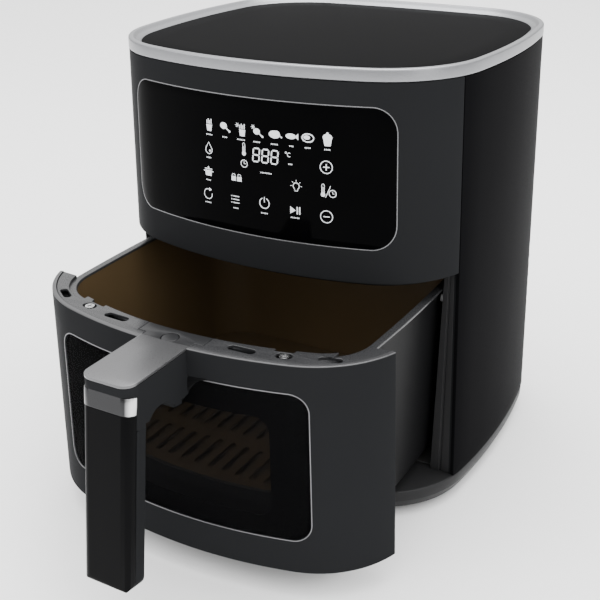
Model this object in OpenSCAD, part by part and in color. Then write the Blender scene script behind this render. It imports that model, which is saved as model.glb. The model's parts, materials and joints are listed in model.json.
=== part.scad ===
// Air fryer with a pull-out basket drawer, in millimetres.
// The drawer is drawn open. The origin is on the floor, at the middle of the open outline.

/* [Housing] */
// Half of the housing's width at the trim ring
half_width = 145; // [140:1:155]
// Half of the housing's depth at the trim ring
half_depth = 137; // [132:1:145]
// How much each side moves out per millimetre of height, going down
side_taper = 0.02; // [0:0.005:0.03]
// Height of the front's bulge over its full width
front_bulge = 35; // [25:1:40]
// Height of each side's bulge over its full depth
side_bulge = 19; // [12:1:22]
// Height of the back's bulge over its full width
back_bulge = 10; // [6:1:20]
// Radius of the two front corners
front_corner_r = 76; // [60:1:80]
// Radius of the two back corners
back_corner_r = 72; // [55:1:76]
// Thickness of the plastic shells
wall = 3; // [2.4:0.1:3.4]
// Height of the rubber feet
foot_h = 5; // [4:0.5:8]
// Top of the base tray
base_top = 21.5; // [20:0.5:23]
// Lower edge of the front cover
cover_bottom = 193; // [190:0.5:196]
// Lower edge of the silver trim ring
ring_bottom = 333.5; // [328:0.5:340]
// Height of the silver trim ring
ring_h = 8.5; // [7:0.5:11]
// Depth of the joint line between the front pieces and the side shell
seam_y = -79; // [-81:0.1:-77]

/* [Drawer] */
// How far the drawer stands out of the housing
drawer_out = 105; // [60:1:110]
// How far the drawer sinks on its way out to that place
drawer_drop = 6; // [2:0.5:7]
// Height of the drawer's front panel
panel_h = 158.5; // [154:0.5:160]
// Lower edge of the front panel with the drawer shut
panel_bottom = 26.5; // [25:0.5:28]
// Half of the basket's inside width at its top
basket_half_w = 120.5; // [112:0.5:121]
// Height of the basket
basket_h = 148; // [130:1:150]
// Half of the width of the big front window
window_half_w = 101; // [90:1:104]
// Height of the big front window
window_h = 113; // [90:1:118]
// Half of the width of the basket's own window
inner_window_half_w = 71; // [50:1:76]

/* [Handle] */
// Half of the handle's width
handle_half_w = 19.5; // [16:0.5:22]
// How far the handle's arm reaches out of the front panel
handle_reach = 59; // [45:1:62]
// Length of the hanging grip
grip_len = 138; // [110:1:145]
// How far the grip leans out at its foot
grip_lean = 8; // [0:1:10]

/* [Control glass] */
// Half of the control glass's width
glass_half_w = 110; // [90:1:112]
// Lower edge of the control glass
glass_bottom = 218; // [205:1:225]
// Height of the control glass
glass_h = 99.5; // [80:0.5:104]

/* [Crisper tray] */
// Height of the tray's top over the basket's floor
tray_lift = 26; // [20:1:32]
// Width of each slot in the tray
tray_slot_w = 5; // [4:0.5:6]

/* [Hidden] */

// Distance from the housing's centre to the middle of the open outline
origin_shift = 89.313;
// Clearance between pieces of one body that meet
fit_gap = 0.2;
ring_top = ring_bottom + ring_h;
panel_top = panel_bottom + panel_h;
drawer_end_y = seam_y - 0.5;
glass_corner_r = 18;
window_corner_r = 14;
window_bottom = panel_bottom + 25.5;
glass_t = 3;

// Basket
rim_t = 2.2;
basket_top = panel_top - rim_t - fit_gap;
basket_bottom = basket_top - basket_h;
basket_wall = 1.8;
basket_front_y = -119.5;
basket_back_y = 112;
basket_mid_y = (basket_front_y + basket_back_y) / 2;
basket_half_d = (basket_back_y - basket_front_y) / 2;
basket_taper = 0.025;
basket_front_bulge = 24;
basket_side_bulge = 4;
basket_corner_r = 34;
flange_w = 6.5;
inner_window_h = 68;
inner_window_bottom = basket_bottom + 36;

// Chamber
opening_half_w = 128.5;
liner_half_w = 130.8;
liner_front_y = seam_y + 5.4;
liner_back_y = 122.5;
liner_bottom = base_top + 0.5;
liner_top = 246;
liner_corner_r = 46;
rail_slope = drawer_drop / drawer_out;
motor_axis_y = 23;

// Number of pieces in each stretch of a curved outline
front_steps = 10;
corner_steps = 12;
side_steps = 8;

// ---------- outlines ----------

function arc(c, r, a0, a1, n) =
  [for (i = [0:n]) c + r * [cos(a0 + (a1 - a0) * i / n), sin(a0 + (a1 - a0) * i / n)]];

// A quarter of a bulged rounded rectangle, from the middle of its front to the middle of
// its right side. a and b are its half width and depth, s1 and s2 the bulges of the front
// and the side, r the corner's radius and t the distance that it is set in.
function quarter(a, b, s1, s2, r, t) =
  let (
    r1 = (a * a + s1 * s1) / (2 * s1),
    r2 = (b * b + s2 * s2) / (2 * s2),
    c1 = [0, r1 - b],
    c2 = [a - r2, 0],
    d = norm(c2 - c1),
    u = (c2 - c1) / d,
    x = (d * d + pow(r1 - r, 2) - pow(r2 - r, 2)) / (2 * d),
    h = sqrt(pow(r1 - r, 2) - x * x),
    cc = c1 + u * x + [-u[1], u[0]] * h,
    a1 = atan2(cc[1] - c1[1], cc[0] - c1[0]),
    a2 = atan2(cc[1] - c2[1], cc[0] - c2[0]),
    side = arc(c2, r2 - t, a2, 0, side_steps),
    corner = arc(cc, r - t, a1, a2, corner_steps)
  )
  concat(arc(c1, r1 - t, -90, a1, front_steps),
         [for (i = [1:corner_steps]) corner[i]],
         [for (i = [1:side_steps]) side[i]]);

function flip_y(p) = [for (q = p) [q[0], -q[1]]];
function backwards(p, from, to) = [for (i = [from:-1:to]) p[i]];

// A closed bulged rounded rectangle, anticlockwise from the middle of its front
function outline(a, b, sf, ss, sb, rf, rb, t) =
  let (
    f = quarter(a, b, sf, ss, rf, t),
    k = flip_y(quarter(a, b, sb, ss, rb, t)),
    n = len(f) - 1,
    right = concat(f, backwards(k, n - 1, 0)),
    left = [for (i = [2 * n - 1:-1:1]) [-right[i][0], right[i][1]]]
  )
  concat(right, left);

// The housing's outline at height z, set in by t
function body_outline(z, t = 0) =
  let (w = side_taper * (ring_bottom - z))
  outline(half_width + w, half_depth + w, front_bulge, side_bulge, back_bulge,
          front_corner_r, back_corner_r, t);

// The basket's inside outline at height z, grown by g
function basket_outline(z, g = 0) =
  let (w = -basket_taper * (basket_top - z) + g)
  [for (p = outline(basket_half_w + w, basket_half_d + w, basket_front_bulge, basket_side_bulge,
                    basket_side_bulge, basket_corner_r + g, basket_corner_r + g, 0))
    p + [0, basket_mid_y]];

// ---------- solids from outlines ----------

// Two triangles for each four-sided patch between loops i and i + 1 of an n-point loop
function patch(a, b, c, d) = [[a, b, c], [a, c, d]];

// A solid between a stack of loops, each a list of 3-D points, lowest first
module loft(loops) {
  n = len(loops[0]);
  m = len(loops);
  sides = [for (j = [0:m - 2], i = [0:n - 1])
    each patch(j * n + i, (j + 1) * n + i, (j + 1) * n + (i + 1) % n, j * n + (i + 1) % n)];
  floor_face = [for (i = [0:n - 1]) i];
  roof_face = [for (i = [n - 1:-1:0]) (m - 1) * n + i];
  polyhedron([for (l = loops, p = l) p], concat([floor_face], sides, [roof_face]));
}

function lift(p, z) = [for (q = p) [q[0], q[1], z]];

// A hollow ring that follows the housing's outline; profile is a closed list of [height, inset]
module body_ring(profile) {
  loops = [for (s = profile) lift(body_outline(s[0], s[1]), s[0])];
  n = len(loops[0]);
  m = len(loops);
  polyhedron([for (l = loops, p = l) p],
    [for (j = [0:m - 1], i = [0:n - 1])
      each patch(j * n + i, ((j + 1) % m) * n + i, ((j + 1) % m) * n + (i + 1) % n,
                 j * n + (i + 1) % n)]);
}

module body_plate(z0, z1, t) {
  loft([lift(body_outline(z0, t), z0), lift(body_outline(z1, t), z1)]);
}

// Everything in front of, or behind, the plane at depth y
module in_front_of(y) {
  intersection() {
    children();
    translate([-200, y - 200, -10]) cube([400, 200, 400]);
  }
}

module behind(y) {
  intersection() {
    children();
    translate([-200, y, -10]) cube([400, 400, 400]);
  }
}

module rounded_rect(w, h, r) {
  square([w - 2 * r, h], center = true);
  square([w, h - 2 * r], center = true);
  for (x = [-1, 1], y = [-1, 1])
    translate([x * (w / 2 - r), y * (h / 2 - r)]) circle(r, $fn = 48);
}

// A rounded bar along the depth, from y0 to y1, that cuts a pane or its hole
module pane_bar(half_w, z0, h, r, y0, y1) {
  translate([0, y1, z0 + h / 2]) rotate([90, 0, 0])
    linear_extrude(y1 - y0) rounded_rect(2 * half_w, h, r);
}

module rod(p, r, h, fn = 32) {
  translate(p) cylinder(r = r, h = h, $fn = fn);
}

module block(lo, hi) {
  translate(lo) cube(hi - lo);
}

// ---------- placing ----------

module placed() {
  translate([0, origin_shift, 0]) children();
}

// The drawer is built shut, and stands out and a little lower
module drawer_place() {
  placed() translate([0, -drawer_out, -drawer_drop]) children();
}

// ---------- housing ----------

foot_places = [for (x = [-100, 100], y = [-82, 92]) [x, y]];
base_screw_places = [for (x = [-60, 60], y = [-100, 112]) [x, y]];

module base_tray() color([0.2, 0.2, 0.21]) placed() difference() {
  loft([
    lift(body_outline(foot_h, 6), foot_h),
    lift(body_outline(foot_h + 1, 4.2), foot_h + 1),
    lift(body_outline(foot_h + 7, 1.2), foot_h + 7),
    lift(body_outline(base_top - 1, 0.4), base_top - 1),
    lift(body_outline(base_top, 1.2), base_top)
  ]);
  difference() {
    translate([0, 0, foot_h - 1]) linear_extrude(base_top - 3 - foot_h + 1)
      polygon(body_outline(foot_h, 10));
    for (p = foot_places) rod([p[0], p[1], foot_h - 2], 12.5, 30);
    for (p = base_screw_places) rod([p[0], p[1], foot_h - 2], 7, 30);
  }
  for (p = foot_places) rod([p[0], p[1], foot_h - 1], 9, 2);
  for (p = base_screw_places) rod([p[0], p[1], foot_h - 1], 4.2, 6);
}

module rubber_feet() color([0.1, 0.1, 0.1]) placed() for (p = foot_places)
  translate([p[0], p[1], 0]) rotate_extrude($fn = 48)
    polygon([[0, 0], [7.4, 0], [8.6, 1.2], [8.8, foot_h + 0.9], [0, foot_h + 0.9]]);

module base_screws() color([0.7, 0.7, 0.72]) placed() for (p = base_screw_places) {
  difference() {
    rod([p[0], p[1], foot_h + 0.8], 3.6, 2.4);
    translate([p[0] - 2.4, p[1] - 0.5, foot_h]) cube([4.8, 1, 1.8]);
    translate([p[0] - 0.5, p[1] - 2.4, foot_h]) cube([1, 4.8, 1.8]);
  }
}

grille_z0 = 236;
grille_h = 62;
grille_half_w = 58;
gland_x = 62;
gland_z = 46;
gland_hole_r = 3.6;

module side_shell() color([0.15, 0.15, 0.16]) placed() difference() {
  behind(seam_y + 0.2) body_ring([
    [base_top + 0.3, 0], [ring_bottom - 0.3, 0],
    [ring_bottom - 0.3, wall], [base_top + 0.3, wall]
  ]);
  pane_bar(grille_half_w, grille_z0, grille_h, 8, 100, 160);
  translate([gland_x, 160, gland_z]) rotate([90, 0, 0]) cylinder(r = 9.2, h = 60, $fn = 48);
}

module front_cover() color([0.2, 0.2, 0.22]) placed() difference() {
  in_front_of(seam_y - 0.2) body_ring([
    [cover_bottom, 1.2], [cover_bottom + 1.2, 0], [ring_bottom - 0.3, 0],
    [ring_bottom - 0.3, wall], [cover_bottom, wall]
  ]);
  pane_bar(glass_half_w, glass_bottom, glass_h, glass_corner_r, -170, -90);
}

module control_glass() color([0.02, 0.02, 0.03]) placed() intersection() {
  body_ring([
    [cover_bottom + 4, 0.3], [ring_bottom - 4, 0.3],
    [ring_bottom - 4, glass_t], [cover_bottom + 4, glass_t]
  ]);
  pane_bar(glass_half_w - 0.3, glass_bottom + 0.3, glass_h - 0.6, glass_corner_r - 0.3,
           -170, -90);
}

module glass_backing() color([0.08, 0.08, 0.08]) placed() difference() {
  intersection() {
    body_ring([
      [cover_bottom + 6, wall + 0.1], [ring_bottom - 4, wall + 0.1],
      [ring_bottom - 4, wall + 1.6], [cover_bottom + 6, wall + 1.6]
    ]);
    pane_bar(glass_half_w + 4, glass_bottom - 4, glass_h + 8, glass_corner_r + 4, -170, -90);
  }
  pane_bar(glass_half_w - 7, glass_bottom + 7, glass_h - 14, glass_corner_r - 7, -170, -90);
}

board_y = -106;

module display_board() color([0.1, 0.35, 0.2]) placed() {
  difference() {
    block([-88, board_y, glass_bottom + 6], [88, board_y + 1.6, glass_bottom + glass_h - 6]);
    for (x = [-80, 80], z = [glass_bottom + 14, glass_bottom + glass_h - 14])
      translate([x, board_y + 3, z]) rotate([90, 0, 0]) cylinder(r = 1.8, h = 6, $fn = 24);
  }
  for (x = [-60:20:60]) block([x - 5, board_y + 1.6, glass_bottom + 30],
                              [x + 5, board_y + 5, glass_bottom + 44]);
  block([-26, board_y - 8, glass_bottom + 52], [32, board_y, glass_bottom + 68]);
}

module cover_floor() color([0.12, 0.12, 0.13]) placed()
  in_front_of(liner_front_y - 0.2) body_plate(cover_bottom + 1, cover_bottom + 3, wall + 0.2);

module brow_strip() color([0.06, 0.06, 0.06]) placed() in_front_of(seam_y - 0.4)
  body_ring([
    [cover_bottom - 4.5, 9], [cover_bottom + 1, 9],
    [cover_bottom + 1, 11.5], [cover_bottom - 4.5, 11.5]
  ]);

module trim_ring() color([0.72, 0.73, 0.75]) placed() body_ring([
  [ring_bottom, 0.1], [ring_bottom + 0.4, -0.3], [ring_top - 1.2, -0.3], [ring_top - 0.3, 0.2],
  [ring_top, 1.2], [ring_top, 3.2], [ring_top - 0.5, 4],
  [ring_top - 2.6, 5.2], [ring_top - 4.4, 9.5], [ring_bottom, 9.5]
]);

module top_panel() color([0.1, 0.1, 0.11]) placed() loft([
  lift(body_outline(ring_bottom, 9.7), ring_bottom),
  lift(body_outline(ring_top - 4.6, 9.7), ring_top - 4.6),
  lift(body_outline(ring_top - 4.2, 10.3), ring_top - 4.2)
]);

lamp_place = [-82, -40];
sensor_place = [-90, 40];

// Side flanges of the opening, just inside the shell: a plate with two raised strips
frame_back_y = liner_front_y - 0.2;

// Part of a side flange between two widths, each given at its foot and at its head
module flange_strip(foot, head, thick) {
  for (s = [0, 1]) mirror([s, 0, 0]) translate([0, frame_back_y, 0]) rotate([90, 0, 0])
    linear_extrude(thick) polygon([
      [foot[0], base_top + 0.2], [foot[1], base_top + 0.2],
      [head[1], cover_bottom + 0.8], [head[0], cover_bottom + 0.8]
    ]);
}

module opening_frame() color([0.14, 0.14, 0.15]) placed() {
  foot = opening_half_w - 4;
  flange_strip([foot, 140.2], [opening_half_w, 135.7], 2.4);
  flange_strip([foot, foot + 7], [opening_half_w, opening_half_w + 3.6], 4);
  flange_strip([foot + 9, 140.2], [opening_half_w + 4.6, 135.7], 3.3);
}

module liner_outline(grow) {
  w = 2 * (liner_half_w + grow);
  d = liner_back_y - liner_front_y + grow;
  r = liner_corner_r + grow;
  translate([-w / 2, liner_front_y]) square([w, d - r]);
  translate([-w / 2 + r, liner_front_y]) square([w - 2 * r, d]);
  for (s = [-1, 1]) translate([s * (w / 2 - r), liner_front_y + d - r]) circle(r, $fn = 48);
}

module chamber_liner() color([0.62, 0.62, 0.64]) placed() difference() {
  translate([0, 0, liner_bottom]) linear_extrude(liner_top - liner_bottom) liner_outline(1);
  translate([0, 0, liner_bottom + 1]) linear_extrude(liner_top - liner_bottom - 2)
    difference() {
      liner_outline(0);
      translate([-200, liner_front_y - 1]) square([400, 2]);
    }
  // open front below the cover's floor
  block([-liner_half_w, liner_front_y - 1, liner_bottom + 1],
        [liner_half_w, liner_front_y + 5, cover_bottom + 3.5]);
  rod([0, motor_axis_y, liner_top - 3], 5, 6);
  rod(concat(lamp_place, [liner_top - 3]), 9.2, 6, 40);
  rod(concat(sensor_place, [liner_top - 3]), 2.8, 6, 24);
  coil_ends() cylinder(r = 3.5, h = 60, $fn = 24);
}

// The flange of the basket rides on these; they slope as the drawer's path does
module guide_rails() color([0.5, 0.5, 0.52]) placed() {
  x0 = basket_half_w + basket_wall + 1.4;
  y0 = liner_front_y + 2;
  y1 = liner_back_y - liner_corner_r - 1;
  top = basket_top - 2.4 - rail_slope * 97;
  for (s = [0, 1]) mirror([s, 0, 0]) translate([x0, 0, 0]) rotate([90, 0, 90])
    linear_extrude(liner_half_w - 0.1 - x0) polygon([
      [y0, top + rail_slope * y0], [y0, top + rail_slope * y0 - 6],
      [y1, top + rail_slope * y1 - 6], [y1, top + rail_slope * y1]
    ]);
}

guard_z = 199;
guard_r = 90;
guard_posts = [45:90:315];

module heater_guard() color([0.75, 0.75, 0.77]) placed() translate([0, motor_axis_y, guard_z]) {
  difference() {
    union() {
      difference() {
        cylinder(r = guard_r + 6, h = 1.6, $fn = 96);
        translate([0, 0, -1]) cylinder(r = guard_r, h = 4, $fn = 96);
      }
      for (a = guard_posts) rotate(a) translate([guard_r + 3, 0, 0])
        cylinder(r = 3.4, h = liner_top - 1.1 - guard_z, $fn = 32);
    }
    for (a = guard_posts) rotate(a) translate([guard_r + 3, 0, -1])
      cylinder(r = 1.7, h = 9, $fn = 24);
  }
  for (r = [18:13:83]) difference() {
    cylinder(r = r + 1.2, h = 1.2, $fn = 72);
    translate([0, 0, -1]) cylinder(r = r - 1.2, h = 4, $fn = 72);
  }
  for (a = [0:60:300]) rotate(a) translate([17.5, -1.2, 0.8]) cube([guard_r - 15, 2.4, 1.8]);
}

module guard_screws() color([0.8, 0.8, 0.8]) placed() translate([0, motor_axis_y, guard_z])
  for (a = guard_posts) rotate(a) translate([guard_r + 3, 0, -1.6]) {
    cylinder(r = 3, h = 1.5, $fn = 24);
    cylinder(r = 1.5, h = 8, $fn = 24);
  }

coil_z = 209;
coil_r = [44, 58, 72, 86];
coil_turn = 12;

// The two upright ends of the coil
module coil_ends() {
  translate([0, motor_axis_y, coil_z]) for (turn = [0, 18]) rotate(coil_turn + turn)
    translate([86, 0, 0]) children();
}

module heater_coil() color([0.35, 0.33, 0.32]) placed() {
  translate([0, motor_axis_y, coil_z]) {
    for (r = coil_r) rotate_extrude($fn = 96) translate([r, 0]) circle(3.2, $fn = 24);
    for (i = [0:2]) rotate(coil_turn + 168 * (i % 2)) translate([coil_r[i], 0, 0])
      rotate([0, 90, 0]) cylinder(r = 2.9, h = 14, $fn = 24);
  }
  coil_ends() cylinder(r = 3.1, h = liner_top + 8 - coil_z, $fn = 24);
}

module reflector_plate() color([0.8, 0.8, 0.82]) placed() {
  difference() {
    translate([0, motor_axis_y, 237]) cylinder(r = 87, h = 0.8, $fn = 96);
    rod([0, motor_axis_y, 236], 6, 4, 32);
    coil_ends() cylinder(r = 3.5, h = 60, $fn = 24);
  }
  translate([0, motor_axis_y, 237.5]) for (a = [70, 190, 310]) rotate(a)
    translate([70, 0, 0]) cylinder(r = 3, h = liner_top - 1.1 - 237.5, $fn = 24);
}

fan_z = 217;

module fan_impeller() color([0.7, 0.7, 0.72]) placed() translate([0, motor_axis_y, fan_z]) {
  difference() {
    union() {
      cylinder(r = 62, h = 1.2, $fn = 96);
      cylinder(r = 9, h = 9, $fn = 48);
    }
    translate([0, 0, -1]) cylinder(r = 4, h = 14, $fn = 48);
  }
  for (a = [0:30:330]) rotate(a) translate([22, 0, 1.2]) rotate(18) cube([38, 1.4, 15]);
}

motor_z = 262;

module motor_shaft() color([0.8, 0.8, 0.82]) placed()
  rod([0, motor_axis_y, fan_z - 9], 3.95, motor_z + 26 - fan_z + 9, 48);

module shaft_nut() color([0.75, 0.75, 0.76]) placed() difference() {
  rod([0, motor_axis_y, fan_z - 6], 6.5, 5.8, 6);
  rod([0, motor_axis_y, fan_z - 7], 3.95, 8, 48);
}

module cooling_fan() color([0.25, 0.25, 0.26]) placed() translate([0, motor_axis_y, liner_top + 2.5]) {
  difference() {
    union() {
      cylinder(r = 42, h = 1.2, $fn = 72);
      cylinder(r = 8, h = 6, $fn = 48);
    }
    translate([0, 0, -1]) cylinder(r = 3.95, h = 10, $fn = 48);
  }
  for (a = [0:40:320]) rotate(a) translate([14, 0, 1.2]) rotate(-20) cube([26, 1.2, 6]);
}

module motor_bracket() color([0.6, 0.6, 0.62]) placed() translate([0, motor_axis_y, 0]) {
  difference() {
    block([-62, -22, motor_z - 2], [62, 22, motor_z - 0.1]);
    translate([0, 0, motor_z - 3]) cylinder(r = 7, h = 5, $fn = 48);
    for (x = [-20, 20]) translate([x, 0, motor_z - 3]) cylinder(r = 2.1, h = 5, $fn = 24);
  }
  for (s = [-1, 1]) {
    block([s > 0 ? 60 : -62, -22, liner_top + 0.1], [s > 0 ? 62 : -60, 22, motor_z - 2]);
    block([s > 0 ? 62 : -74, -22, liner_top + 0.1], [s > 0 ? 74 : -62, 22, liner_top + 2]);
  }
}

module fan_motor() color([0.45, 0.45, 0.47]) placed() translate([0, motor_axis_y, motor_z]) {
  difference() {
    union() {
      translate([-26, -18, 0]) cube([52, 36, 24]);
      cylinder(r = 12, h = 32, $fn = 48);
    }
    translate([0, 0, -1]) cylinder(r = 4, h = 40, $fn = 48);
  }
  for (s = [-1, 1]) difference() {
    translate([s * 20, 0, -6]) cylinder(r = 2, h = 6, $fn = 24);
    translate([s * 20, 0, -7]) cylinder(r = 0.8, h = 6, $fn = 16);
  }
}

module power_board() color([0.1, 0.35, 0.2]) placed() translate([-96, 24, liner_top + 12]) {
  difference() {
    cube([24, 76, 1.6]);
    for (y = [6, 70]) translate([12, y, -1]) cylinder(r = 1.7, h = 4, $fn = 24);
  }
  translate([3, 14, 1.6]) cube([18, 15, 14]);
  translate([3, 34, 1.6]) cube([18, 12, 18]);
  translate([12, 56, 1.6]) cylinder(r = 7, h = 20, $fn = 40);
  for (y = [6, 70]) translate([12, y, -12 + 0.1]) cylinder(r = 3, h = 11.8, $fn = 24);
}

module air_outlet_grille() color([0.12, 0.12, 0.13]) placed() {
  back_face = half_depth + side_taper * (ring_bottom - grille_z0) - 3.4;
  difference() {
    pane_bar(grille_half_w - 0.3, grille_z0 + 0.3, grille_h - 0.6, 7.7,
             back_face - 3.2, back_face + 0.2);
    for (x = [-45:9:45]) pane_bar(2.6, grille_z0 + 8, grille_h - 16, 2.5,
                                  back_face - 5, back_face + 2);
  }
  for (s = [-1, 1]) block([s > 0 ? 47.9 : -53, back_face - 9, grille_z0 + 10],
                          [s > 0 ? 53 : -47.9, back_face - 3.2, grille_z0 + 24]);
}

module cord_gland() color([0.1, 0.1, 0.1]) placed() {
  y_back = half_depth + side_taper * (ring_bottom - gland_z);
  translate([gland_x, y_back - 0.4, gland_z]) rotate([90, 0, 0]) difference() {
    union() {
      cylinder(r = 7, h = 5, $fn = 48);
      translate([0, 0, 3]) cylinder(r = 9, h = 9, $fn = 48);
    }
    translate([0, 0, -1]) cylinder(r = gland_hole_r, h = 20, $fn = 48);
  }
}

module drawer_switch() color([0.15, 0.15, 0.16]) placed() {
  block([132.8, liner_front_y + 6, 150], [138.5, liner_front_y + 26, 166]);
  block([133.6, liner_front_y + 26, 152], [134.2, liner_front_y + 34, 156]);
  block([133.6, liner_front_y + 26, 160], [134.2, liner_front_y + 34, 164]);
}

module temperature_sensor() color([0.8, 0.8, 0.82]) placed() {
  rod(concat(sensor_place, [226]), 2.6, 24);
  rod(concat(sensor_place, [liner_top + 0.1]), 5, 3);
}

module chamber_lamp() color([0.9, 0.9, 0.85]) placed() {
  rod(concat(lamp_place, [liner_top - 0.5]), 9, 14, 40);
  rod(concat(lamp_place, [liner_top + 13.5]), 5, 10, 32);
}

module lamp_lens() color([0.9, 0.95, 1]) placed() translate(concat(lamp_place, [liner_top - 8.8]))
  rotate_extrude($fn = 48) polygon([[0, 0], [8, 0], [11, 1.5], [11, 7.6], [9.4, 7.6],
                                    [9.4, 3], [0, 3]]);

// ---------- drawer ----------

module drawer_front() color([0.17, 0.17, 0.18]) drawer_place() difference() {
  in_front_of(drawer_end_y) body_ring([
    [panel_bottom, 1.6], [panel_bottom + 1.6, 0], [panel_top - 1.2, 0], [panel_top, 1.2],
    [panel_top, wall], [panel_bottom, wall]
  ]);
  pane_bar(window_half_w, window_bottom, window_h, window_corner_r, -170, -90);
  handle_screw_places(wall + 3) cylinder(r = 1.8, h = 14, $fn = 24);
}

module outer_window() color([0.05, 0.05, 0.05, 0.6]) drawer_place() intersection() {
  body_ring([
    [panel_bottom + 6, 0.3], [panel_top - 6, 0.3],
    [panel_top - 6, glass_t], [panel_bottom + 6, glass_t]
  ]);
  pane_bar(window_half_w - 0.3, window_bottom + 0.3, window_h - 0.6, window_corner_r - 0.3,
           -170, -90);
}

module window_gasket() color([0.05, 0.05, 0.05]) drawer_place() difference() {
  intersection() {
    body_ring([
      [panel_bottom + 6, wall + 0.1], [panel_top - 6, wall + 0.1],
      [panel_top - 6, wall + 2], [panel_bottom + 6, wall + 2]
    ]);
    pane_bar(window_half_w + 5, window_bottom - 5, window_h + 10, window_corner_r + 5,
             -170, -90);
  }
  pane_bar(window_half_w - 6, window_bottom + 6, window_h - 12, window_corner_r - 6,
           -170, -90);
}

module basket() color([0.25, 0.24, 0.23]) drawer_place() difference() {
  union() {
    loft([
      lift(basket_outline(basket_bottom, basket_wall - 4), basket_bottom),
      lift(basket_outline(basket_bottom + 4, basket_wall), basket_bottom + 4),
      lift(basket_outline(basket_top, basket_wall), basket_top)
    ]);
    behind(basket_front_y + 32) loft([
      lift(basket_outline(basket_top, flange_w), basket_top - 2),
      lift(basket_outline(basket_top, flange_w), basket_top)
    ]);
    in_front_of(basket_front_y + 33) loft([
      lift(basket_outline(basket_top, 4), basket_top - 2),
      lift(basket_outline(basket_top, 4), basket_top)
    ]);
  }
  loft([
    lift(basket_outline(basket_bottom, -4), basket_bottom + basket_wall),
    lift(basket_outline(basket_bottom + 5, 0), basket_bottom + 5 + basket_wall),
    lift(basket_outline(basket_top + 1, 0), basket_top + 1)
  ]);
  pane_bar(inner_window_half_w, inner_window_bottom, inner_window_h, 10, -140, -90);
}

// Wedges under the basket that slide over the base's front edge
module basket_runners() color([0.12, 0.12, 0.13]) drawer_place() {
  y0 = basket_front_y + 8;
  y1 = 66;
  sill = base_top + 0.5 + rail_slope * 131;
  for (x = [-70, 62]) translate([x, 0, 0]) rotate([90, 0, 90]) linear_extrude(8) polygon([
    [y0, basket_bottom - 0.1], [y1, basket_bottom - 0.1],
    [y1, sill + rail_slope * y1], [y0, sill + rail_slope * y0]
  ]);
}

module inner_window() color([0.5, 0.5, 0.5, 0.4]) drawer_place()
  intersection() {
    difference() {
      loft([lift(basket_outline(basket_bottom + 10, basket_wall), basket_bottom + 10),
            lift(basket_outline(basket_top, basket_wall), basket_top)]);
      loft([lift(basket_outline(basket_bottom + 9, 0), basket_bottom + 9),
            lift(basket_outline(basket_top + 1, 0), basket_top + 1)]);
    }
    pane_bar(inner_window_half_w - 0.2, inner_window_bottom + 0.2, inner_window_h - 0.4, 9.8,
             -140, -90);
  }

module inner_window_frame() color([0.05, 0.05, 0.05]) drawer_place() difference() {
  intersection() {
    loft([lift(basket_outline(basket_bottom + 10, basket_wall + 3), basket_bottom + 10),
          lift(basket_outline(basket_top - 4, basket_wall + 3), basket_top - 4)]);
    pane_bar(inner_window_half_w + 7, inner_window_bottom - 7, inner_window_h + 14, 15,
             -140, -90);
  }
  loft([lift(basket_outline(basket_bottom + 9, basket_wall + 0.1), basket_bottom + 9),
        lift(basket_outline(basket_top - 3, basket_wall + 0.1), basket_top - 3)]);
  pane_bar(inner_window_half_w - 2, inner_window_bottom + 2, inner_window_h - 4, 8, -150, -90);
}

// Half of the centre cover's width beside the basket and beside the handle
centre_half_w = 26;
centre_neck_half_w = 19.6;
centre_step_y = -130;
rim_screw_at = [79.5, -117];
// How far the side covers stand back from the basket's inner edge at its corners
rim_ledge = 5;

// The flat of the rim between the panel and the basket's inner edge
module rim_flat() {
  difference() {
    polygon(body_outline(panel_top, wall + 0.1));
    polygon(basket_outline(basket_top, -0.6));
    translate([-200, drawer_end_y]) square([400, 400]);
  }
}

// The outline of the centre cover, grown by g at its sides
module centre_cover_plan(g = 0) {
  intersection() {
    rim_flat();
    union() {
      translate([-centre_half_w - g, centre_step_y - g]) square([2 * (centre_half_w + g), 60]);
      translate([-centre_neck_half_w - g, -160]) square([2 * (centre_neck_half_w + g), 60]);
    }
  }
}

// Plates that join the basket's front to the back of the panel
module front_brackets() color([0.14, 0.14, 0.15]) drawer_place()
  translate([0, 0, 96]) linear_extrude(basket_top - 2.4 - 96) intersection() {
    difference() {
      polygon(body_outline(panel_top, wall + 0.2));
      polygon(basket_outline(basket_top, basket_wall + 0.2));
    }
    for (s = [-1, 1]) translate([s * 114 - 4, -160]) square([8, 160 + drawer_end_y]);
  }

module slot_plan(length, width) {
  for (s = [-1, 1]) translate([s * (length - width) / 2, 0]) circle(width / 2, $fn = 24);
  square([length - width, width], center = true);
}

// Slots, screw hole and steps of the right cover; the left one is its mirror image
module rim_cutouts(ledge_x) {
  translate([51, -122.4]) rotate(3) slot_plan(20, 6);
  translate([106, -104.7]) rotate(35) slot_plan(18, 6);
  translate(rim_screw_at) circle(4, $fn = 32);
  intersection() {
    polygon(basket_outline(basket_top, 2));
    translate([70, -200]) square([13, 200]);
  }
  intersection() {
    polygon(basket_outline(basket_top, rim_ledge));
    translate([ledge_x, -200]) square([200, 400]);
  }
}

// The right cover, or the left one when mirrored
module rim_cover_plan(ledge_x) {
  difference() {
    rim_flat();
    translate([-200, -200]) square([200, 400]);
    centre_cover_plan(fit_gap);
    rim_cutouts(ledge_x);
  }
}

module rim_cover_right() color([0.3, 0.3, 0.31]) drawer_place()
  translate([0, 0, panel_top - rim_t]) linear_extrude(rim_t) rim_cover_plan(108);

module rim_cover_left() color([0.5, 0.5, 0.51]) drawer_place()
  translate([0, 0, panel_top - rim_t]) linear_extrude(rim_t)
    mirror([1, 0]) rim_cover_plan(91);

cap_y = -130.2;
cap_r = 6;

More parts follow.
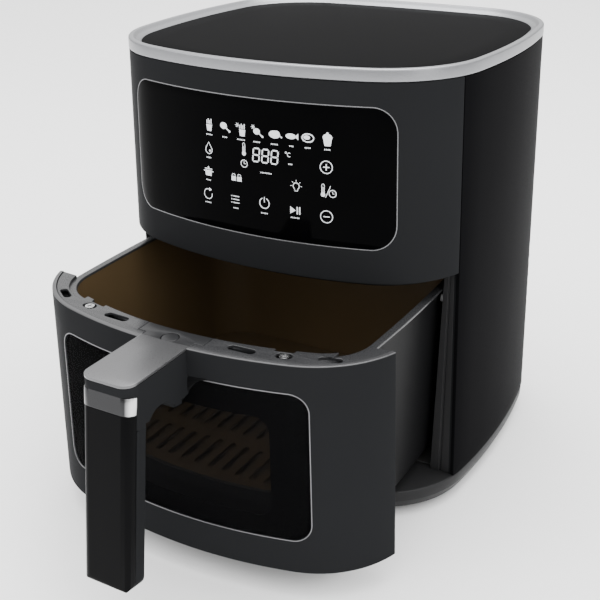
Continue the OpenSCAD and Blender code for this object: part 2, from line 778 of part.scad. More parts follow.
module rim_cover_centre() color([0.3, 0.3, 0.31]) drawer_place()
  translate([0, 0, panel_top - rim_t]) difference() {
    linear_extrude(rim_t) centre_cover_plan();
    translate([0, cap_y, rim_t - 1]) cylinder(r = cap_r + fit_gap, h = 2, $fn = 48);
  }

module round_cap() color([0.3, 0.3, 0.31]) drawer_place()
  translate([0, cap_y, panel_top - 1]) cylinder(r = cap_r, h = 0.8, $fn = 48);

module rim_screws() color([0.75, 0.75, 0.76]) drawer_place() for (s = [-1, 1])
  translate([s * rim_screw_at[0], rim_screw_at[1], panel_top - rim_t]) difference() {
    cylinder(r = 3.4, h = 1.6, $fn = 32);
    translate([-2.3, -0.5, 0.8]) cube([4.6, 1, 2]);
    translate([-0.5, -2.3, 0.8]) cube([1, 4.6, 2]);
  }

// ---------- handle ----------

// Heights and depths here are those of the shut drawer
panel_front_y = -(half_depth + side_taper * (ring_bottom - panel_top));
arm_front_y = panel_front_y - handle_reach;
arm_h = 26;
plate_t = 2;
arm_top = panel_top - plate_t;
band_drop = 9;
band_h = 12;
grip_front_d = 7;
grip_rear_d = 9;
handle_corner_r = 9;
neck_len = 24;

module handle_plan(half_w, y0, y1, r) {
  translate([-half_w, y0 + r]) square([2 * half_w, y1 - y0 - r]);
  translate([-half_w + r, y0]) square([2 * (half_w - r), r + 1]);
  for (s = [-1, 1]) translate([s * (half_w - r), y0 + r]) circle(r, $fn = 48);
}

// The arm and its root, seen from the side; y grows to the right and z upward
arch_y = panel_front_y - 30;
arch_r = 15;

module arm_side() {
  low = panel_top - arm_h - arch_r;
  difference() {
    translate([arm_front_y, low]) square([handle_reach + 0.2, arm_top - low]);
    translate([arch_y, low]) circle(arch_r, $fn = 72);
    translate([arch_y - arch_r, low - 10]) square([2 * arch_r, 10.5]);
    translate([panel_front_y - 8, low - 1]) square([20, 9]);
    difference() {
      translate([panel_front_y - 16, low - 1]) square([9, 9]);
      translate([panel_front_y - 8, low + 8]) circle(7, $fn = 40);
    }
  }
}

module across(w) {
  translate([-w, 0, 0]) rotate([90, 0, 90]) linear_extrude(2 * w) children();
}

// The panel's bulged face where the arm meets it, as a cone
module panel_face() {
  r = 178;
  low = 100;
  high = 200;
  translate([0, r, low]) cylinder(
    r1 = r + half_depth + side_taper * (ring_bottom - low) + 0.1,
    r2 = r + half_depth + side_taper * (ring_bottom - high) + 0.1, h = high - low, $fn = 360);
}

// Screws into the arm from inside the panel; back is how far behind its face they start
module handle_screw_places(back) {
  for (x = [-9, 9]) translate([x, panel_front_y + back, panel_top - 9]) rotate([90, 0, 0])
    children();
}

module handle_arm() color([0.16, 0.16, 0.17]) drawer_place() difference() {
  intersection() {
    across(handle_half_w) arm_side();
    translate([0, 0, 100]) linear_extrude(120)
      handle_plan(handle_half_w, arm_front_y, panel_front_y + 0.2, handle_corner_r);
  }
  grip_place() {
    block([-40, -0.1, 0], [40, 40, 60]);
    block([-40, -grip_rear_d - 6, neck_len - 0.1], [40, 1, 70]);
    block([-40, -60, neck_len - 3], [40, -grip_rear_d, neck_len + 30]);
  }
  panel_face();
  handle_screw_places(1) cylinder(r = 1.6, h = 14, $fn = 24);
}

module handle_plate() color([0.45, 0.45, 0.46]) drawer_place() difference() {
  translate([0, 0, arm_top + 0.1]) linear_extrude(plate_t - 0.1)
    handle_plan(handle_half_w, arm_front_y, panel_front_y + 0.2, handle_corner_r);
  panel_face();
}

// Grip frame: its own z runs down the grip, which leans out at its foot, and its y is
// forward from the joint between the grip's two halves
module grip_place() {
  translate([0, arm_front_y + 0.6 + grip_front_d, panel_top - band_drop])
    rotate([180 - grip_lean, 0, 0]) children();
}

module grip_section(grow = 0) {
  w = handle_half_w + grow;
  r = grip_front_d + grow;
  translate([-w, -grip_rear_d]) square([2 * w, grip_rear_d]);
  translate([-w + r, -1]) square([2 * (w - r), r + 1]);
  for (s = [-1, 1]) translate([s * (w - r), 0]) circle(r, $fn = 48);
}

// The grip's side view, rounded at its foot; x is forward and y is down the grip
module grip_side(top) {
  r = 5;
  translate([-grip_rear_d - 1, top]) square([grip_rear_d + grip_front_d + 2, grip_len - top - r]);
  translate([-grip_rear_d + r, top]) square([grip_rear_d + grip_front_d - 2 * r, grip_len - top]);
  for (x = [-grip_rear_d + r, grip_front_d - r]) translate([x, grip_len - r])
    circle(r, $fn = 48);
}

// The grip's front view, its foot's corners rounded; y is down the grip
module grip_face(top) {
  r = 8;
  w = handle_half_w;
  translate([-w - 1, top]) square([2 * w + 2, grip_len - top - r]);
  translate([-w + r, top]) square([2 * (w - r), grip_len - top]);
  for (s = [-1, 1]) translate([s * (handle_half_w - r), grip_len - r]) circle(r, $fn = 48);
}

module grip_body(top) {
  intersection() {
    translate([0, 0, top]) linear_extrude(grip_len) grip_section();
    across(handle_half_w + 1) grip_side(top);
    translate([0, 40, 0]) rotate([90, 0, 0]) linear_extrude(80) grip_face(top);
  }
}

module grip_front() color([0.07, 0.07, 0.08]) drawer_place() grip_place() difference() {
  grip_body(band_h + 0.2);
  block([-40, -40, 0], [40, 0, 200]);
  block([-handle_half_w + 4, -1, 0], [handle_half_w - 4, grip_front_d - 3, grip_len - 5]);
}

module grip_rear() color([0.16, 0.16, 0.17]) drawer_place() grip_place() difference() {
  grip_body(neck_len);
  block([-40, -0.1, 0], [40, 40, 200]);
  block([-handle_half_w + 3, -grip_rear_d + 3, neck_len + 3], [handle_half_w - 3, 1, grip_len - 4]);
}

module grip_band() color([0.8, 0.8, 0.82]) drawer_place() grip_place()
  translate([0, 0, 0.1]) linear_extrude(band_h) difference() {
    grip_section(0.3);
    translate([-60, -60]) square([120, 60]);
    translate([-handle_half_w + 4, -1]) square([2 * handle_half_w - 8, grip_front_d - 2]);
  }

module handle_screws() color([0.75, 0.75, 0.76]) drawer_place()
  handle_screw_places(wall + 3.3) {
    cylinder(r = 3, h = 2.2, $fn = 32);
    cylinder(r = 1.5, h = 14, $fn = 24);
  }

// ---------- crisper tray ----------

tray_top = basket_bottom + basket_wall + tray_lift;
tray_t = 2;
tray_gap = 2.2;

module crisper_tray() color([0.2, 0.2, 0.21]) drawer_place() difference() {
  union() {
    translate([0, 0, tray_top - tray_t]) linear_extrude(tray_t)
      polygon(basket_outline(tray_top, -tray_gap));
    difference() {
      translate([0, 0, tray_top - 11]) linear_extrude(10)
        polygon(basket_outline(tray_top - 11, -tray_gap - 0.4));
      translate([0, 0, tray_top - 12]) linear_extrude(12)
        polygon(basket_outline(tray_top - 11, -tray_gap - 2.2));
    }
    for (x = [-62, 62], y = [-70, 66])
      rod([x, y, basket_bottom + basket_wall + 4], 4, tray_lift - 5, 32);
  }
  for (x = [-96:12:96], y = [-78, -30, 18, 66]) if (abs(x) < 90 || abs(y) < 50)
    translate([x, y, tray_top - 4]) linear_extrude(6) {
      square([tray_slot_w, 30], center = true);
      for (s = [-1, 1]) translate([0, 15 * s]) circle(tray_slot_w / 2, $fn = 24);
    }
}

module tray_bumpers() color([0.6, 0.15, 0.1]) drawer_place() for (x = [-62, 62], y = [-70, 66])
  difference() {
    rod([x, y, basket_bottom + basket_wall + 0.6], 6, 7, 32);
    rod([x, y, basket_bottom + basket_wall + 3.8], 4.1, 7, 32);
  }

base_tray();
rubber_feet();
base_screws();
side_shell();
front_cover();
control_glass();
glass_backing();
display_board();
cover_floor();
brow_strip();
trim_ring();
top_panel();
opening_frame();
chamber_liner();
guide_rails();
heater_guard();
heater_coil();
guard_screws();
reflector_plate();
motor_bracket();
fan_motor();
power_board();
air_outlet_grille();
cord_gland();
drawer_switch();
temperature_sensor();
chamber_lamp();
lamp_lens();
fan_impeller();
motor_shaft();
cooling_fan();
shaft_nut();
drawer_front();
front_brackets();
outer_window();
window_gasket();
basket();
basket_runners();
inner_window();
inner_window_frame();
rim_cover_left();
rim_cover_right();
rim_cover_centre();
round_cap();
rim_screws();
handle_arm();
handle_plate();
grip_front();
grip_rear();
grip_band();
handle_screws();
crisper_tray();
tray_bumpers();
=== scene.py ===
"""Looks of the air fryer: shells, glass, handle, basket and printed icons over the CAD frame.

Lengths are in millimetres until a mesh is made. Every shell follows one outline, a bulged
rounded square that widens downward, which the Outline class gives at any height and inset.
"""

import json
from math import asin, atan2, cos, hypot, pi, radians, sin, sqrt

import bmesh
import bpy
from mathutils import Matrix, Vector


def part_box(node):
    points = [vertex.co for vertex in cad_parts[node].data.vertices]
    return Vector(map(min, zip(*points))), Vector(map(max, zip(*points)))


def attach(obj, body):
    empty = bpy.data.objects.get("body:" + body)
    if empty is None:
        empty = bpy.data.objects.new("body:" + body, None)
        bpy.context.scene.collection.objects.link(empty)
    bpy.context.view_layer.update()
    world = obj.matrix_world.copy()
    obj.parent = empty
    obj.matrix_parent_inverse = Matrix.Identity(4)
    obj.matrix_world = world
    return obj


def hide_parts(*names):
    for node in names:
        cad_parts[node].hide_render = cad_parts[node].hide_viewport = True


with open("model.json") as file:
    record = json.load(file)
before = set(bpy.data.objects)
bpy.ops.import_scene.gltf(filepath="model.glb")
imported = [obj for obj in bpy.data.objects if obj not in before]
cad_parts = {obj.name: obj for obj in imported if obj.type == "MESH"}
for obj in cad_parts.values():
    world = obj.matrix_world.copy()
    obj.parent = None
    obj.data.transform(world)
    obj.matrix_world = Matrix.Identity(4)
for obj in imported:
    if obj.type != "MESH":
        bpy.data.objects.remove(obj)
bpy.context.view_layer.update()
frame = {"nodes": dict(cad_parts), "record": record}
nodes = frame["nodes"]
MM = 0.001


def box_mm(node):
    """A CAD node's lowest and highest corner in millimetres."""
    low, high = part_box(node)
    return Vector(low) / MM, Vector(high) / MM


# ---------- places that come from the frame ----------

ring_low, ring_high = box_mm("trim_ring")
base_low, base_high = box_mm("base_tray")
cover_low, cover_high = box_mm("front_cover")
shell_low, shell_high = box_mm("side_shell")
fascia_low, fascia_high = box_mm("drawer_front")
pane_low, pane_high = box_mm("outer_window")
glass_low, glass_high = box_mm("control_glass")
basket_low, basket_high = box_mm("basket")
inner_low, inner_high = box_mm("inner_window")
rim_high = box_mm("rim_cover_right")[1]
plate_low, plate_high = box_mm("handle_plate")

HOUSING_Y = (ring_low.y + ring_high.y) / 2
RING_BOTTOM = ring_low.z
GAP = 0.3  # between a pane and its hole, and how far the ring stands out
HALF_WIDTH = ring_high.x - GAP
HALF_DEPTH = ring_high.y - HOUSING_Y - GAP
SEAM_Y = cover_high.y - HOUSING_Y
DRAWER_OUT = SEAM_Y - GAP - (fascia_high.y - HOUSING_Y)
DRAWER_DROP = 6.0
WALL = 3.0
DRAWER_Y = HOUSING_Y - DRAWER_OUT
PANEL_TOP = rim_high.z
BASKET_FLANGE, BASKET_FRONT_FLANGE = 6.5, 4.0
BASKET_WALL = 1.8
BASKET_TAPER = 0.025
BASKET_BULGE, BASKET_SIDE_BULGE, BASKET_CORNER = 24.0, 4.0, 34.0
BASKET_HALF_W = basket_high.x - BASKET_FLANGE
BASKET_FRONT = basket_low.y - DRAWER_Y + BASKET_FRONT_FLANGE
BASKET_BACK = basket_high.y - DRAWER_Y - BASKET_FLANGE
BASKET_MIDDLE = (BASKET_FRONT + BASKET_BACK) / 2
BASKET_HALF_D = (BASKET_BACK - BASKET_FRONT) / 2


# ---------- the housing's outline ----------


class Outline:
    """A quarter of a bulged rounded rectangle: a front or back arc, a corner arc and a side arc."""

    def __init__(self, a, b, bulge, side, r, back=False):
        r1 = (a * a + bulge * bulge) / (2 * bulge)
        r2 = (b * b + side * side) / (2 * side)
        c1, c2 = Vector((0, r1 - b)), Vector((a - r2, 0))
        gap = c2 - c1
        d = gap.length
        u = gap / d
        x = (d * d + (r1 - r) ** 2 - (r2 - r) ** 2) / (2 * d)
        h = sqrt((r1 - r) ** 2 - x * x)
        corner = c1 + u * x + Vector((-u.y, u.x)) * h
        a1 = atan2(corner.y - c1.y, corner.x - c1.x)
        a2 = atan2(corner.y - c2.y, corner.x - c2.x)
        self.flip = -1 if back else 1
        self.arcs = [(c1, r1, -pi / 2, a1), (corner, r, a1, a2), (c2, r2, a2, 0.0)]
        self.lengths = [radius * (end - start) for _, radius, start, end in self.arcs]
        self.total = sum(self.lengths)

    def walk(self, s):
        """Centre, radius and angle at distance s along the quarter from its middle."""
        for (centre, radius, start, end), length in zip(self.arcs, self.lengths):
            if s <= length or (centre, radius, start, end) == self.arcs[-1]:
                return centre, radius, start + s / radius
            s -= length

    def point(self, s, inset=0.0):
        centre, radius, angle = self.walk(abs(s))
        x = centre.x + (radius - inset) * cos(angle)
        y = centre.y + (radius - inset) * sin(angle)
        return (x if s >= 0 else -x), self.flip * y

    def run(self, start, end, steps, inset=0.0):
        """Evenly spaced points between two distances along the quarter."""
        return [self.point(start + (end - start) * i / steps, inset) for i in range(steps + 1)]

    def find(self, reached):
        """The smallest distance along the quarter at which reached(x, y) holds."""
        low, high = 0.0, self.total
        for _ in range(40):
            middle = (low + high) / 2
            x, y = self.point(middle)
            low, high = (low, middle) if reached(x, y) else (middle, high)
        return high


TAPER = 0.02
FRONT_BULGE, SIDE_BULGE, BACK_BULGE = 35.0, 19.0, 10.0
FRONT_CORNER, BACK_CORNER = 76.0, 72.0


def housing_outline(z, back=False):
    """The housing's footprint at a height; it widens downward."""
    grow = TAPER * (RING_BOTTOM - z)
    bulge, r = (BACK_BULGE, BACK_CORNER) if back else (FRONT_BULGE, FRONT_CORNER)
    return Outline(HALF_WIDTH + grow, HALF_DEPTH + grow, bulge, SIDE_BULGE, r, back)


def mirrored(right):
    """A whole loop of (x, y) from its right half, which starts and ends on the middle line."""
    return right + [(-x, y) for x, y in reversed(right[1:-1])]


def full_loop(front, behind, steps, inset=0.0):
    """A closed loop of (x, y) from the middle of the front, anticlockwise from above."""
    right = [front.point(front.total * i / steps, inset) for i in range(steps)]
    right += [behind.point(behind.total * (1 - i / steps), inset) for i in range(steps + 1)]
    return mirrored(right)


REFERENCE_Z = 180.0  # the height at which q is a true length along the skin
SHARP = radians(35.0)  # edges that turn more than this are drawn sharp


class Surface:
    """The housing's skin between the two seams, as flat coordinates: q along it and z up it."""

    def __init__(self, back=False, shift=(0.0, 0.0), seam=SEAM_Y):
        self.back = back
        self.shift = shift
        self.seam = seam
        self.cache = {}
        self.reach = self.end(REFERENCE_Z)

    def outline(self, z):
        key = round(z, 4)
        if key not in self.cache:
            front = housing_outline(z)
            behind = housing_outline(z, back=True)
            self.cache[key] = (front, behind, front.find(lambda x, y: y > self.seam))
        return self.cache[key]

    def end(self, z):
        """Distance from the middle to the seam."""
        front, behind, seam_s = self.outline(z)
        return behind.total + front.total - seam_s if self.back else seam_s

    def q_at_x(self, x):
        outline = self.outline(REFERENCE_Z)[1 if self.back else 0]
        return outline.find(lambda px, py: px > x)

    def place(self, q, z, inset=0.0):
        z_local = z - self.shift[1]
        front, behind, _ = self.outline(z_local)
        s = q * self.end(z_local) / self.reach
        if not self.back:
            x, y = front.point(s, inset)
        elif abs(s) <= behind.total:
            x, y = behind.point(s, inset)
        else:
            x, y = front.point(behind.total + front.total - abs(s), inset)
            x = x if s >= 0 else -x
        return Vector((x, y + HOUSING_Y + self.shift[0], z)) * MM


# ---------- mesh making ----------


def new_object(name, vertices, faces):
    mesh = bpy.data.meshes.new(name)
    mesh.from_pydata(vertices, [], faces)
    bm = bmesh.new()
    bm.from_mesh(mesh)
    bmesh.ops.remove_doubles(bm, verts=bm.verts, dist=1e-6)
    bmesh.ops.dissolve_degenerate(bm, edges=bm.edges, dist=1e-7)
    bmesh.ops.recalc_face_normals(bm, faces=bm.faces)
    bm.to_mesh(mesh)
    bm.free()
    mesh.shade_smooth()
    mesh.set_sharp_from_angle(angle=SHARP)
    piece = bpy.data.objects.new(name, mesh)
    bpy.context.scene.collection.objects.link(piece)
    return piece


def bridge(loops, close=False, caps=True):
    """Vertices and quads between loops with the same number of points."""
    count = len(loops[0])
    vertices = [p for loop in loops for p in loop]
    faces = []
    stations = len(loops) if close else len(loops) - 1
    for j in range(stations):
        k = (j + 1) % len(loops)
        for i in range(count):
            i2 = (i + 1) % count
            faces.append((j * count + i, j * count + i2, k * count + i2, k * count + i))
    if caps and not close:
        faces.append(tuple(range(count)))
        faces.append(tuple((len(loops) - 1) * count + i for i in range(count)))
    return vertices, faces


def rounded_loop(half_w, z0, z1, r, across=72, up=28, corner=12):
    """A rounded rectangle in (q, z), anticlockwise from the left end of its lower edge."""
    points = []
    x, low, high = half_w - r, z0 + r, z1 - r
    turns = [(x, low, -90), (x, high, 0), (-x, high, 90), (-x, low, 180)]
    sides = [((-x, z0), (x, z0), across), ((half_w, low), (half_w, high), up),
             ((x, z1), (-x, z1), across), ((-half_w, high), (-half_w, low), up)]
    for (start, end, steps), (cx, cz, first) in zip(sides, turns):
        for i in range(steps):
            f = i / steps
            points.append((start[0] + (end[0] - start[0]) * f, start[1] + (end[1] - start[1]) * f))
        for i in range(corner):
            angle = radians(first + 90 * i / corner)
            points.append((cx + r * cos(angle), cz + r * sin(angle)))
    return points


def mix_loops(a, b, f):
    return [(p[0] + (q[0] - p[0]) * f, p[1] + (q[1] - p[1]) * f) for p, q in zip(a, b)]


def edge_stations(rect, growth, bevel, depth, outward):
    """Stations (loop, inset) round a bevelled edge; rect(g) is the loop grown by g."""
    s = 1 if outward else -1
    steps = [i * pi / 10 for i in range(6)]
    stations = [(rect(growth - s * bevel * (1 - sin(a))), bevel * (1 - cos(a))) for a in steps]
    stations.append((rect(growth), depth))
    return stations


def grown_loop(rect):
    """A function that gives the rounded rectangle (half_w, z0, z1, r) grown by g."""
    half_w, z0, z1, r = rect
    return lambda g: rounded_loop(half_w + g, z0 - g, z1 + g, max(r + g, 0.15))


def pane_rect(half_w, low, high, r, grow=0.0):
    """The rounded rectangle of a pane between two corners of its box, grown."""
    return half_w + grow, low.z - grow, high.z + grow, r


def framed_panel(name, surface, outer, hole, depth, bevel=1.0, hole_bevel=0.6, rings=10,
                 sink=0.0):
    """A curved panel with a rounded window; outer and hole are (half_w, z0, z1, r)."""
    out_edge = edge_stations(grown_loop(outer), 0.0, bevel, depth, True)
    in_edge = edge_stations(grown_loop(hole), 0.0, hole_bevel, depth, False)
    stations = list(reversed(in_edge))
    first, last = in_edge[0][0], out_edge[0][0]
    stations += [(mix_loops(first, last, i / rings), 0.0) for i in range(1, rings)]
    stations += out_edge
    first, last = out_edge[-1][0], in_edge[-1][0]
    stations += [(mix_loops(first, last, i / rings), depth) for i in range(1, rings)]
    loops = [[surface.place(q, z, inset + sink) for q, z in loop] for loop, inset in stations]
    return new_object(name, *bridge(loops, close=True))


def curved_pane(name, surface, rect, depth, proud=0.0, bevel=0.6, rings=8):
    """A curved pane with a rounded outline, its face at inset -proud."""
    half_w, z0, z1, _ = rect
    middle = (z0 + z1) / 2
    grown = grown_loop(rect)
    slit = [(q * (half_w - (z1 - z0) / 2) / half_w, middle) for q, z in grown(-bevel)]
    edge = edge_stations(grown, 0.0, bevel, depth, True)
    stations = [(mix_loops(slit, edge[0][0], i / rings), 0.0) for i in range(rings)] + edge
    stations += [(mix_loops(edge[-1][0], slit, i / rings), depth) for i in range(1, rings + 1)]
    loops = [[surface.place(q, z, inset - proud) for q, z in loop] for loop, inset in stations]
    return new_object(name, *bridge(loops, caps=False))


def swept_ring(name, profile, steps=96, cap=False):
    """A closed (z, inset) profile swept round the housing, or a loft of it with end caps."""
    loops = []
    for z, inset in profile:
        plan = full_loop(housing_outline(z), housing_outline(z, back=True), steps, inset)
        loops.append([Vector((x, y + HOUSING_Y, z)) * MM for x, y in plan])
    return new_object(name, *bridge(loops, close=not cap, caps=cap))


def plan_plate(name, loops, top, thick, bevel=0.5):
    """A flat plate drawn from above as (x, y) loops, its outline first and then its holes.

    The outline has to run clockwise and the holes the other way for the bevel to go inward.
    """
    curve = bpy.data.curves.new(name + "_plan", "CURVE")
    curve.dimensions = "2D"
    curve.fill_mode = "BOTH"
    curve.extrude = thick / 2 - bevel
    curve.bevel_depth = bevel
    curve.bevel_resolution = 2
    curve.offset = -bevel
    for i, loop in enumerate(loops):
        area = sum(a[0] * b[1] - b[0] * a[1] for a, b in zip(loop, loop[1:] + loop[:1]))
        if (area > 0) == (i == 0):
            loop = loop[::-1]
        spline = curve.splines.new("POLY")
        spline.points.add(len(loop) - 1)
        for point, (x, y) in zip(spline.points, loop):
            point.co = (x, y, 0, 1)
        spline.use_cyclic_u = True
    plan = bpy.data.objects.new(name + "_plan", curve)
    mesh = bpy.data.meshes.new_from_object(plan)
    middle = top - thick / 2
    vertices = [(v.co.x * MM, v.co.y * MM, (v.co.z + middle) * MM) for v in mesh.vertices]
    piece = new_object(name, vertices, [tuple(face.vertices) for face in mesh.polygons])
    bpy.data.objects.remove(plan)
    bpy.data.curves.remove(curve)
    bpy.data.meshes.remove(mesh)
    return piece


def cut_hole(piece, vertices, faces):
    """Cuts a closed mesh out of a piece."""
    cutter = new_object(piece.name + "_cutter", vertices, faces)
    cut = piece.modifiers.new("hole", "BOOLEAN")
    cut.operation = "DIFFERENCE"
    cut.solver = "EXACT"
    cut.object = cutter
    bpy.context.view_layer.update()
    mesh = bpy.data.meshes.new_from_object(piece.evaluated_get(
        bpy.context.evaluated_depsgraph_get()))
    piece.modifiers.clear()
    piece.data = mesh
    bpy.data.objects.remove(cutter)
    mesh.shade_smooth()
    mesh.set_sharp_from_angle(angle=SHARP)


def slot_loop(x, y, length, width, turn=0.0, r=None):
    """A rounded slot or oval seen from above, turned by an angle in degrees."""
    r = width / 2 if r is None else r
    points = []
    for sx, sy, first in ((1, 1, 0), (-1, 1, 90), (-1, -1, 180), (1, -1, 270)):
        cx, cy = sx * (length / 2 - r), sy * (width / 2 - r)
        for i in range(9):
            angle = radians(first + 90 * i / 8)
            points.append((cx + r * cos(angle), cy + r * sin(angle)))
    c, s = cos(radians(turn)), sin(radians(turn))
    return [(x + px * c - py * s, y + px * s + py * c) for px, py in points]


# ---------- materials ----------


def node_material(name):
    material = bpy.data.materials.new(name)
    material.use_nodes = True
    tree = material.node_tree
    shader = tree.nodes["Principled BSDF"]
    coordinates = tree.nodes.new("ShaderNodeTexCoord")
    return material, tree, shader, coordinates.outputs["Object"]


def noise(tree, vector, scale, detail=3.0, stretch=None):
    if stretch:
        mapping = tree.nodes.new("ShaderNodeMapping")
        mapping.inputs["Scale"].default_value = stretch
        tree.links.new(vector, mapping.inputs["Vector"])
        vector = mapping.outputs["Vector"]
    texture = tree.nodes.new("ShaderNodeTexNoise")
    texture.inputs["Scale"].default_value = scale
    texture.inputs["Detail"].default_value = detail
    tree.links.new(vector, texture.inputs["Vector"])
    return texture.outputs["Fac"]


def ramp(tree, fac, low, high, start=0.3, end=0.7):
    node = tree.nodes.new("ShaderNodeMapRange")
    node.inputs["From Min"].default_value = start
    node.inputs["From Max"].default_value = end
    node.inputs["To Min"].default_value = low
    node.inputs["To Max"].default_value = high
    tree.links.new(fac, node.inputs["Value"])
    return node.outputs["Result"]


def tint(tree, fac, dark, light):
    node = tree.nodes.new("ShaderNodeMix")
    node.data_type = "RGBA"
    tree.links.new(fac, node.inputs["Factor"])
    node.inputs["A"].default_value = (*dark, 1)
    node.inputs["B"].default_value = (*light, 1)
    return node.outputs["Result"]


def bump(tree, height, strength, distance):
    node = tree.nodes.new("ShaderNodeBump")
    node.inputs["Strength"].default_value = strength
    node.inputs["Distance"].default_value = distance
    tree.links.new(height, node.inputs["Height"])
    return node.outputs["Normal"]


def surface_material(name, color, rough, spread=0.06, vary=0.12, metallic=0.0, grain=1400.0,
                     depth=0.00003, strength=0.25, stretch=None, coat=0.0, specular=0.5):
    """A solid material: fine grain in the bump, broad variation in colour and roughness."""
    material, tree, shader, vector = node_material(name)
    broad = noise(tree, vector, 9.0, 4.0)
    fine = noise(tree, vector, grain, 2.0, stretch)
    dark = [c * (1 - vary) for c in color]
    light = [c * (1 + vary) for c in color]
    tree.links.new(tint(tree, broad, dark, light), shader.inputs["Base Color"])
    tree.links.new(ramp(tree, fine, rough - spread, rough + spread), shader.inputs["Roughness"])
    tree.links.new(bump(tree, fine, strength, depth), shader.inputs["Normal"])
    shader.inputs["Metallic"].default_value = metallic
    shader.inputs["Coat Weight"].default_value = coat
    shader.inputs["Coat Roughness"].default_value = 0.15
    shader.inputs["Specular IOR Level"].default_value = specular
    return material


def painted_end_highlight(material, color, start, stop):
    """Painted highlight: brightens a metal's base colour where its surface faces +x, as side light
    does on a rounded end.
    """
    tree = material.node_tree
    shader = tree.nodes["Principled BSDF"]
    plain = shader.inputs["Base Color"].links[0].from_socket
    split = tree.nodes.new("ShaderNodeSeparateXYZ")
    tree.links.new(tree.nodes.new("ShaderNodeNewGeometry").outputs["Normal"],
                   split.inputs["Vector"])
    share = ramp(tree, split.outputs["X"], 0.0, 1.0, start, stop)
    mixed = tint(tree, share, color, color)
    tree.links.new(plain, mixed.node.inputs["A"])
    tree.links.new(mixed, shader.inputs["Base Color"])


def glass_material(name, color, alpha, specular, rough=0.05, vary=0.03):
    material, tree, shader, vector = node_material(name)
    smudge = noise(tree, vector, 14.0, 5.0)
    tree.links.new(tint(tree, smudge, color, [c * 1.5 + 0.001 for c in color]),
                   shader.inputs["Base Color"])
    tree.links.new(ramp(tree, smudge, rough, rough + vary), shader.inputs["Roughness"])
    shader.inputs["Alpha"].default_value = alpha
    shader.inputs["Specular IOR Level"].default_value = specular
    shader.inputs["IOR"].default_value = 1.5
    return material


SURFACES = {
    "housing_plastic": dict(color=(0.0038, 0.0038, 0.0042), rough=0.42, specular=0.003),
    "top_plastic": dict(color=(0.0028, 0.0028, 0.003), rough=0.45, specular=0.004),
    "front_plastic": dict(color=(0.0118, 0.0122, 0.013), rough=0.44, specular=0.006),
    "base_plastic": dict(color=(0.016, 0.016, 0.0165), rough=0.42, specular=0.1),
    "black_plastic": dict(color=(0.004, 0.004, 0.0042), rough=0.5, specular=0.04),
    "rim_plastic": dict(color=(0.02, 0.0202, 0.0213), rough=0.3, specular=0.38, vary=0.06,
                        depth=0.00001),
    "rim_centre_plastic": dict(color=(0.012, 0.0122, 0.013), rough=0.34, specular=0.2, vary=0.06,
                               depth=0.00001),
    "silver_plastic": dict(color=(0.22, 0.223, 0.232), rough=0.32, metallic=0.8, grain=900.0,
                           stretch=(1, 1, 14), vary=0.05),
    "handle_plate_plastic": dict(color=(0.12, 0.12, 0.123), rough=0.32, metallic=0.75, vary=0.05,
                                 depth=0.00001),
    "band_metal": dict(color=(0.03, 0.03, 0.031), rough=0.2, metallic=0.95, stretch=(1, 1, 14),
                       vary=0.04, depth=0.00001),
    "grip_plastic": dict(color=(0.0022, 0.0022, 0.0024), rough=0.34, specular=0.03),
    "border_print": dict(color=(0.002, 0.002, 0.002), rough=0.6, specular=0.01, depth=0.000001,
                         strength=0.05),
    "rubber": dict(color=(0.012, 0.012, 0.012), rough=0.75, grain=700.0),
    "silicone": dict(color=(0.16, 0.03, 0.02), rough=0.6, grain=700.0),
    "nonstick_coating": dict(color=(0.075, 0.05, 0.024), rough=0.36, grain=2200.0, depth=0.00002,
                             vary=0.25, specular=0.3),
    "basket_outside": dict(color=(0.005, 0.005, 0.0053), rough=0.42, vary=0.2, grain=2200.0,
                           specular=0.04),
    "coated_steel": dict(color=(0.03, 0.03, 0.03), rough=0.4),
    "steel": dict(color=(0.4, 0.4, 0.4), rough=0.32, metallic=1.0, stretch=(1, 12, 1)),
    "screw_steel": dict(color=(0.5, 0.5, 0.5), rough=0.25, metallic=1.0),
    "heater_steel": dict(color=(0.09, 0.075, 0.065), rough=0.45, metallic=0.9, vary=0.4),
    "aluminium": dict(color=(0.6, 0.6, 0.61), rough=0.36, metallic=1.0, stretch=(16, 1, 1)),
    "motor_steel": dict(color=(0.18, 0.18, 0.185), rough=0.4, metallic=0.9),
    "board": dict(color=(0.01, 0.09, 0.035), rough=0.45, vary=0.3),
    "ceramic": dict(color=(0.6, 0.58, 0.52), rough=0.2, coat=0.5),
    "icon_print": dict(color=(0.75, 0.77, 0.8), rough=0.5, vary=0.02),
    # A lighter metallic look for thin strips round the panes: painted highlight.
    "painted_highlight_edge": dict(color=(0.14, 0.14, 0.145), rough=0.3, metallic=0.6, vary=0.03),
    # A lighter metallic look for the drawer front's top edge: painted highlight.
    "painted_top_edge_highlight": dict(color=(0.06, 0.06, 0.062), rough=0.35, metallic=0.5, vary=0.1),
}
GLASSES = {
    "control_glass": dict(color=(0.0002, 0.0002, 0.0003), alpha=1.0, specular=0.012),
    "window_glass": dict(color=(0.0026, 0.0026, 0.0028), alpha=0.55, specular=0.002),
    "clear_glass": dict(color=(0.01, 0.009, 0.008), alpha=0.25, specular=0.01),
}
MATERIALS = {name: surface_material(name, **look) for name, look in SURFACES.items()}
MATERIALS.update({name: glass_material(name, **look) for name, look in GLASSES.items()})
# The grip band's right end gets a painted highlight in its base colour.
painted_end_highlight(MATERIALS["band_metal"], (0.6, 0.6, 0.6), 0.35, 0.8)


def finish(piece, slot, body, *replaced, look=None):
    """Gives a new piece its material and its body, and hides the CAD nodes that it stands for."""
    piece.data.materials.clear()
    piece.data.materials.append(MATERIALS[look or slot])
    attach(piece, body)
    if replaced:
        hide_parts(*replaced)
    return piece


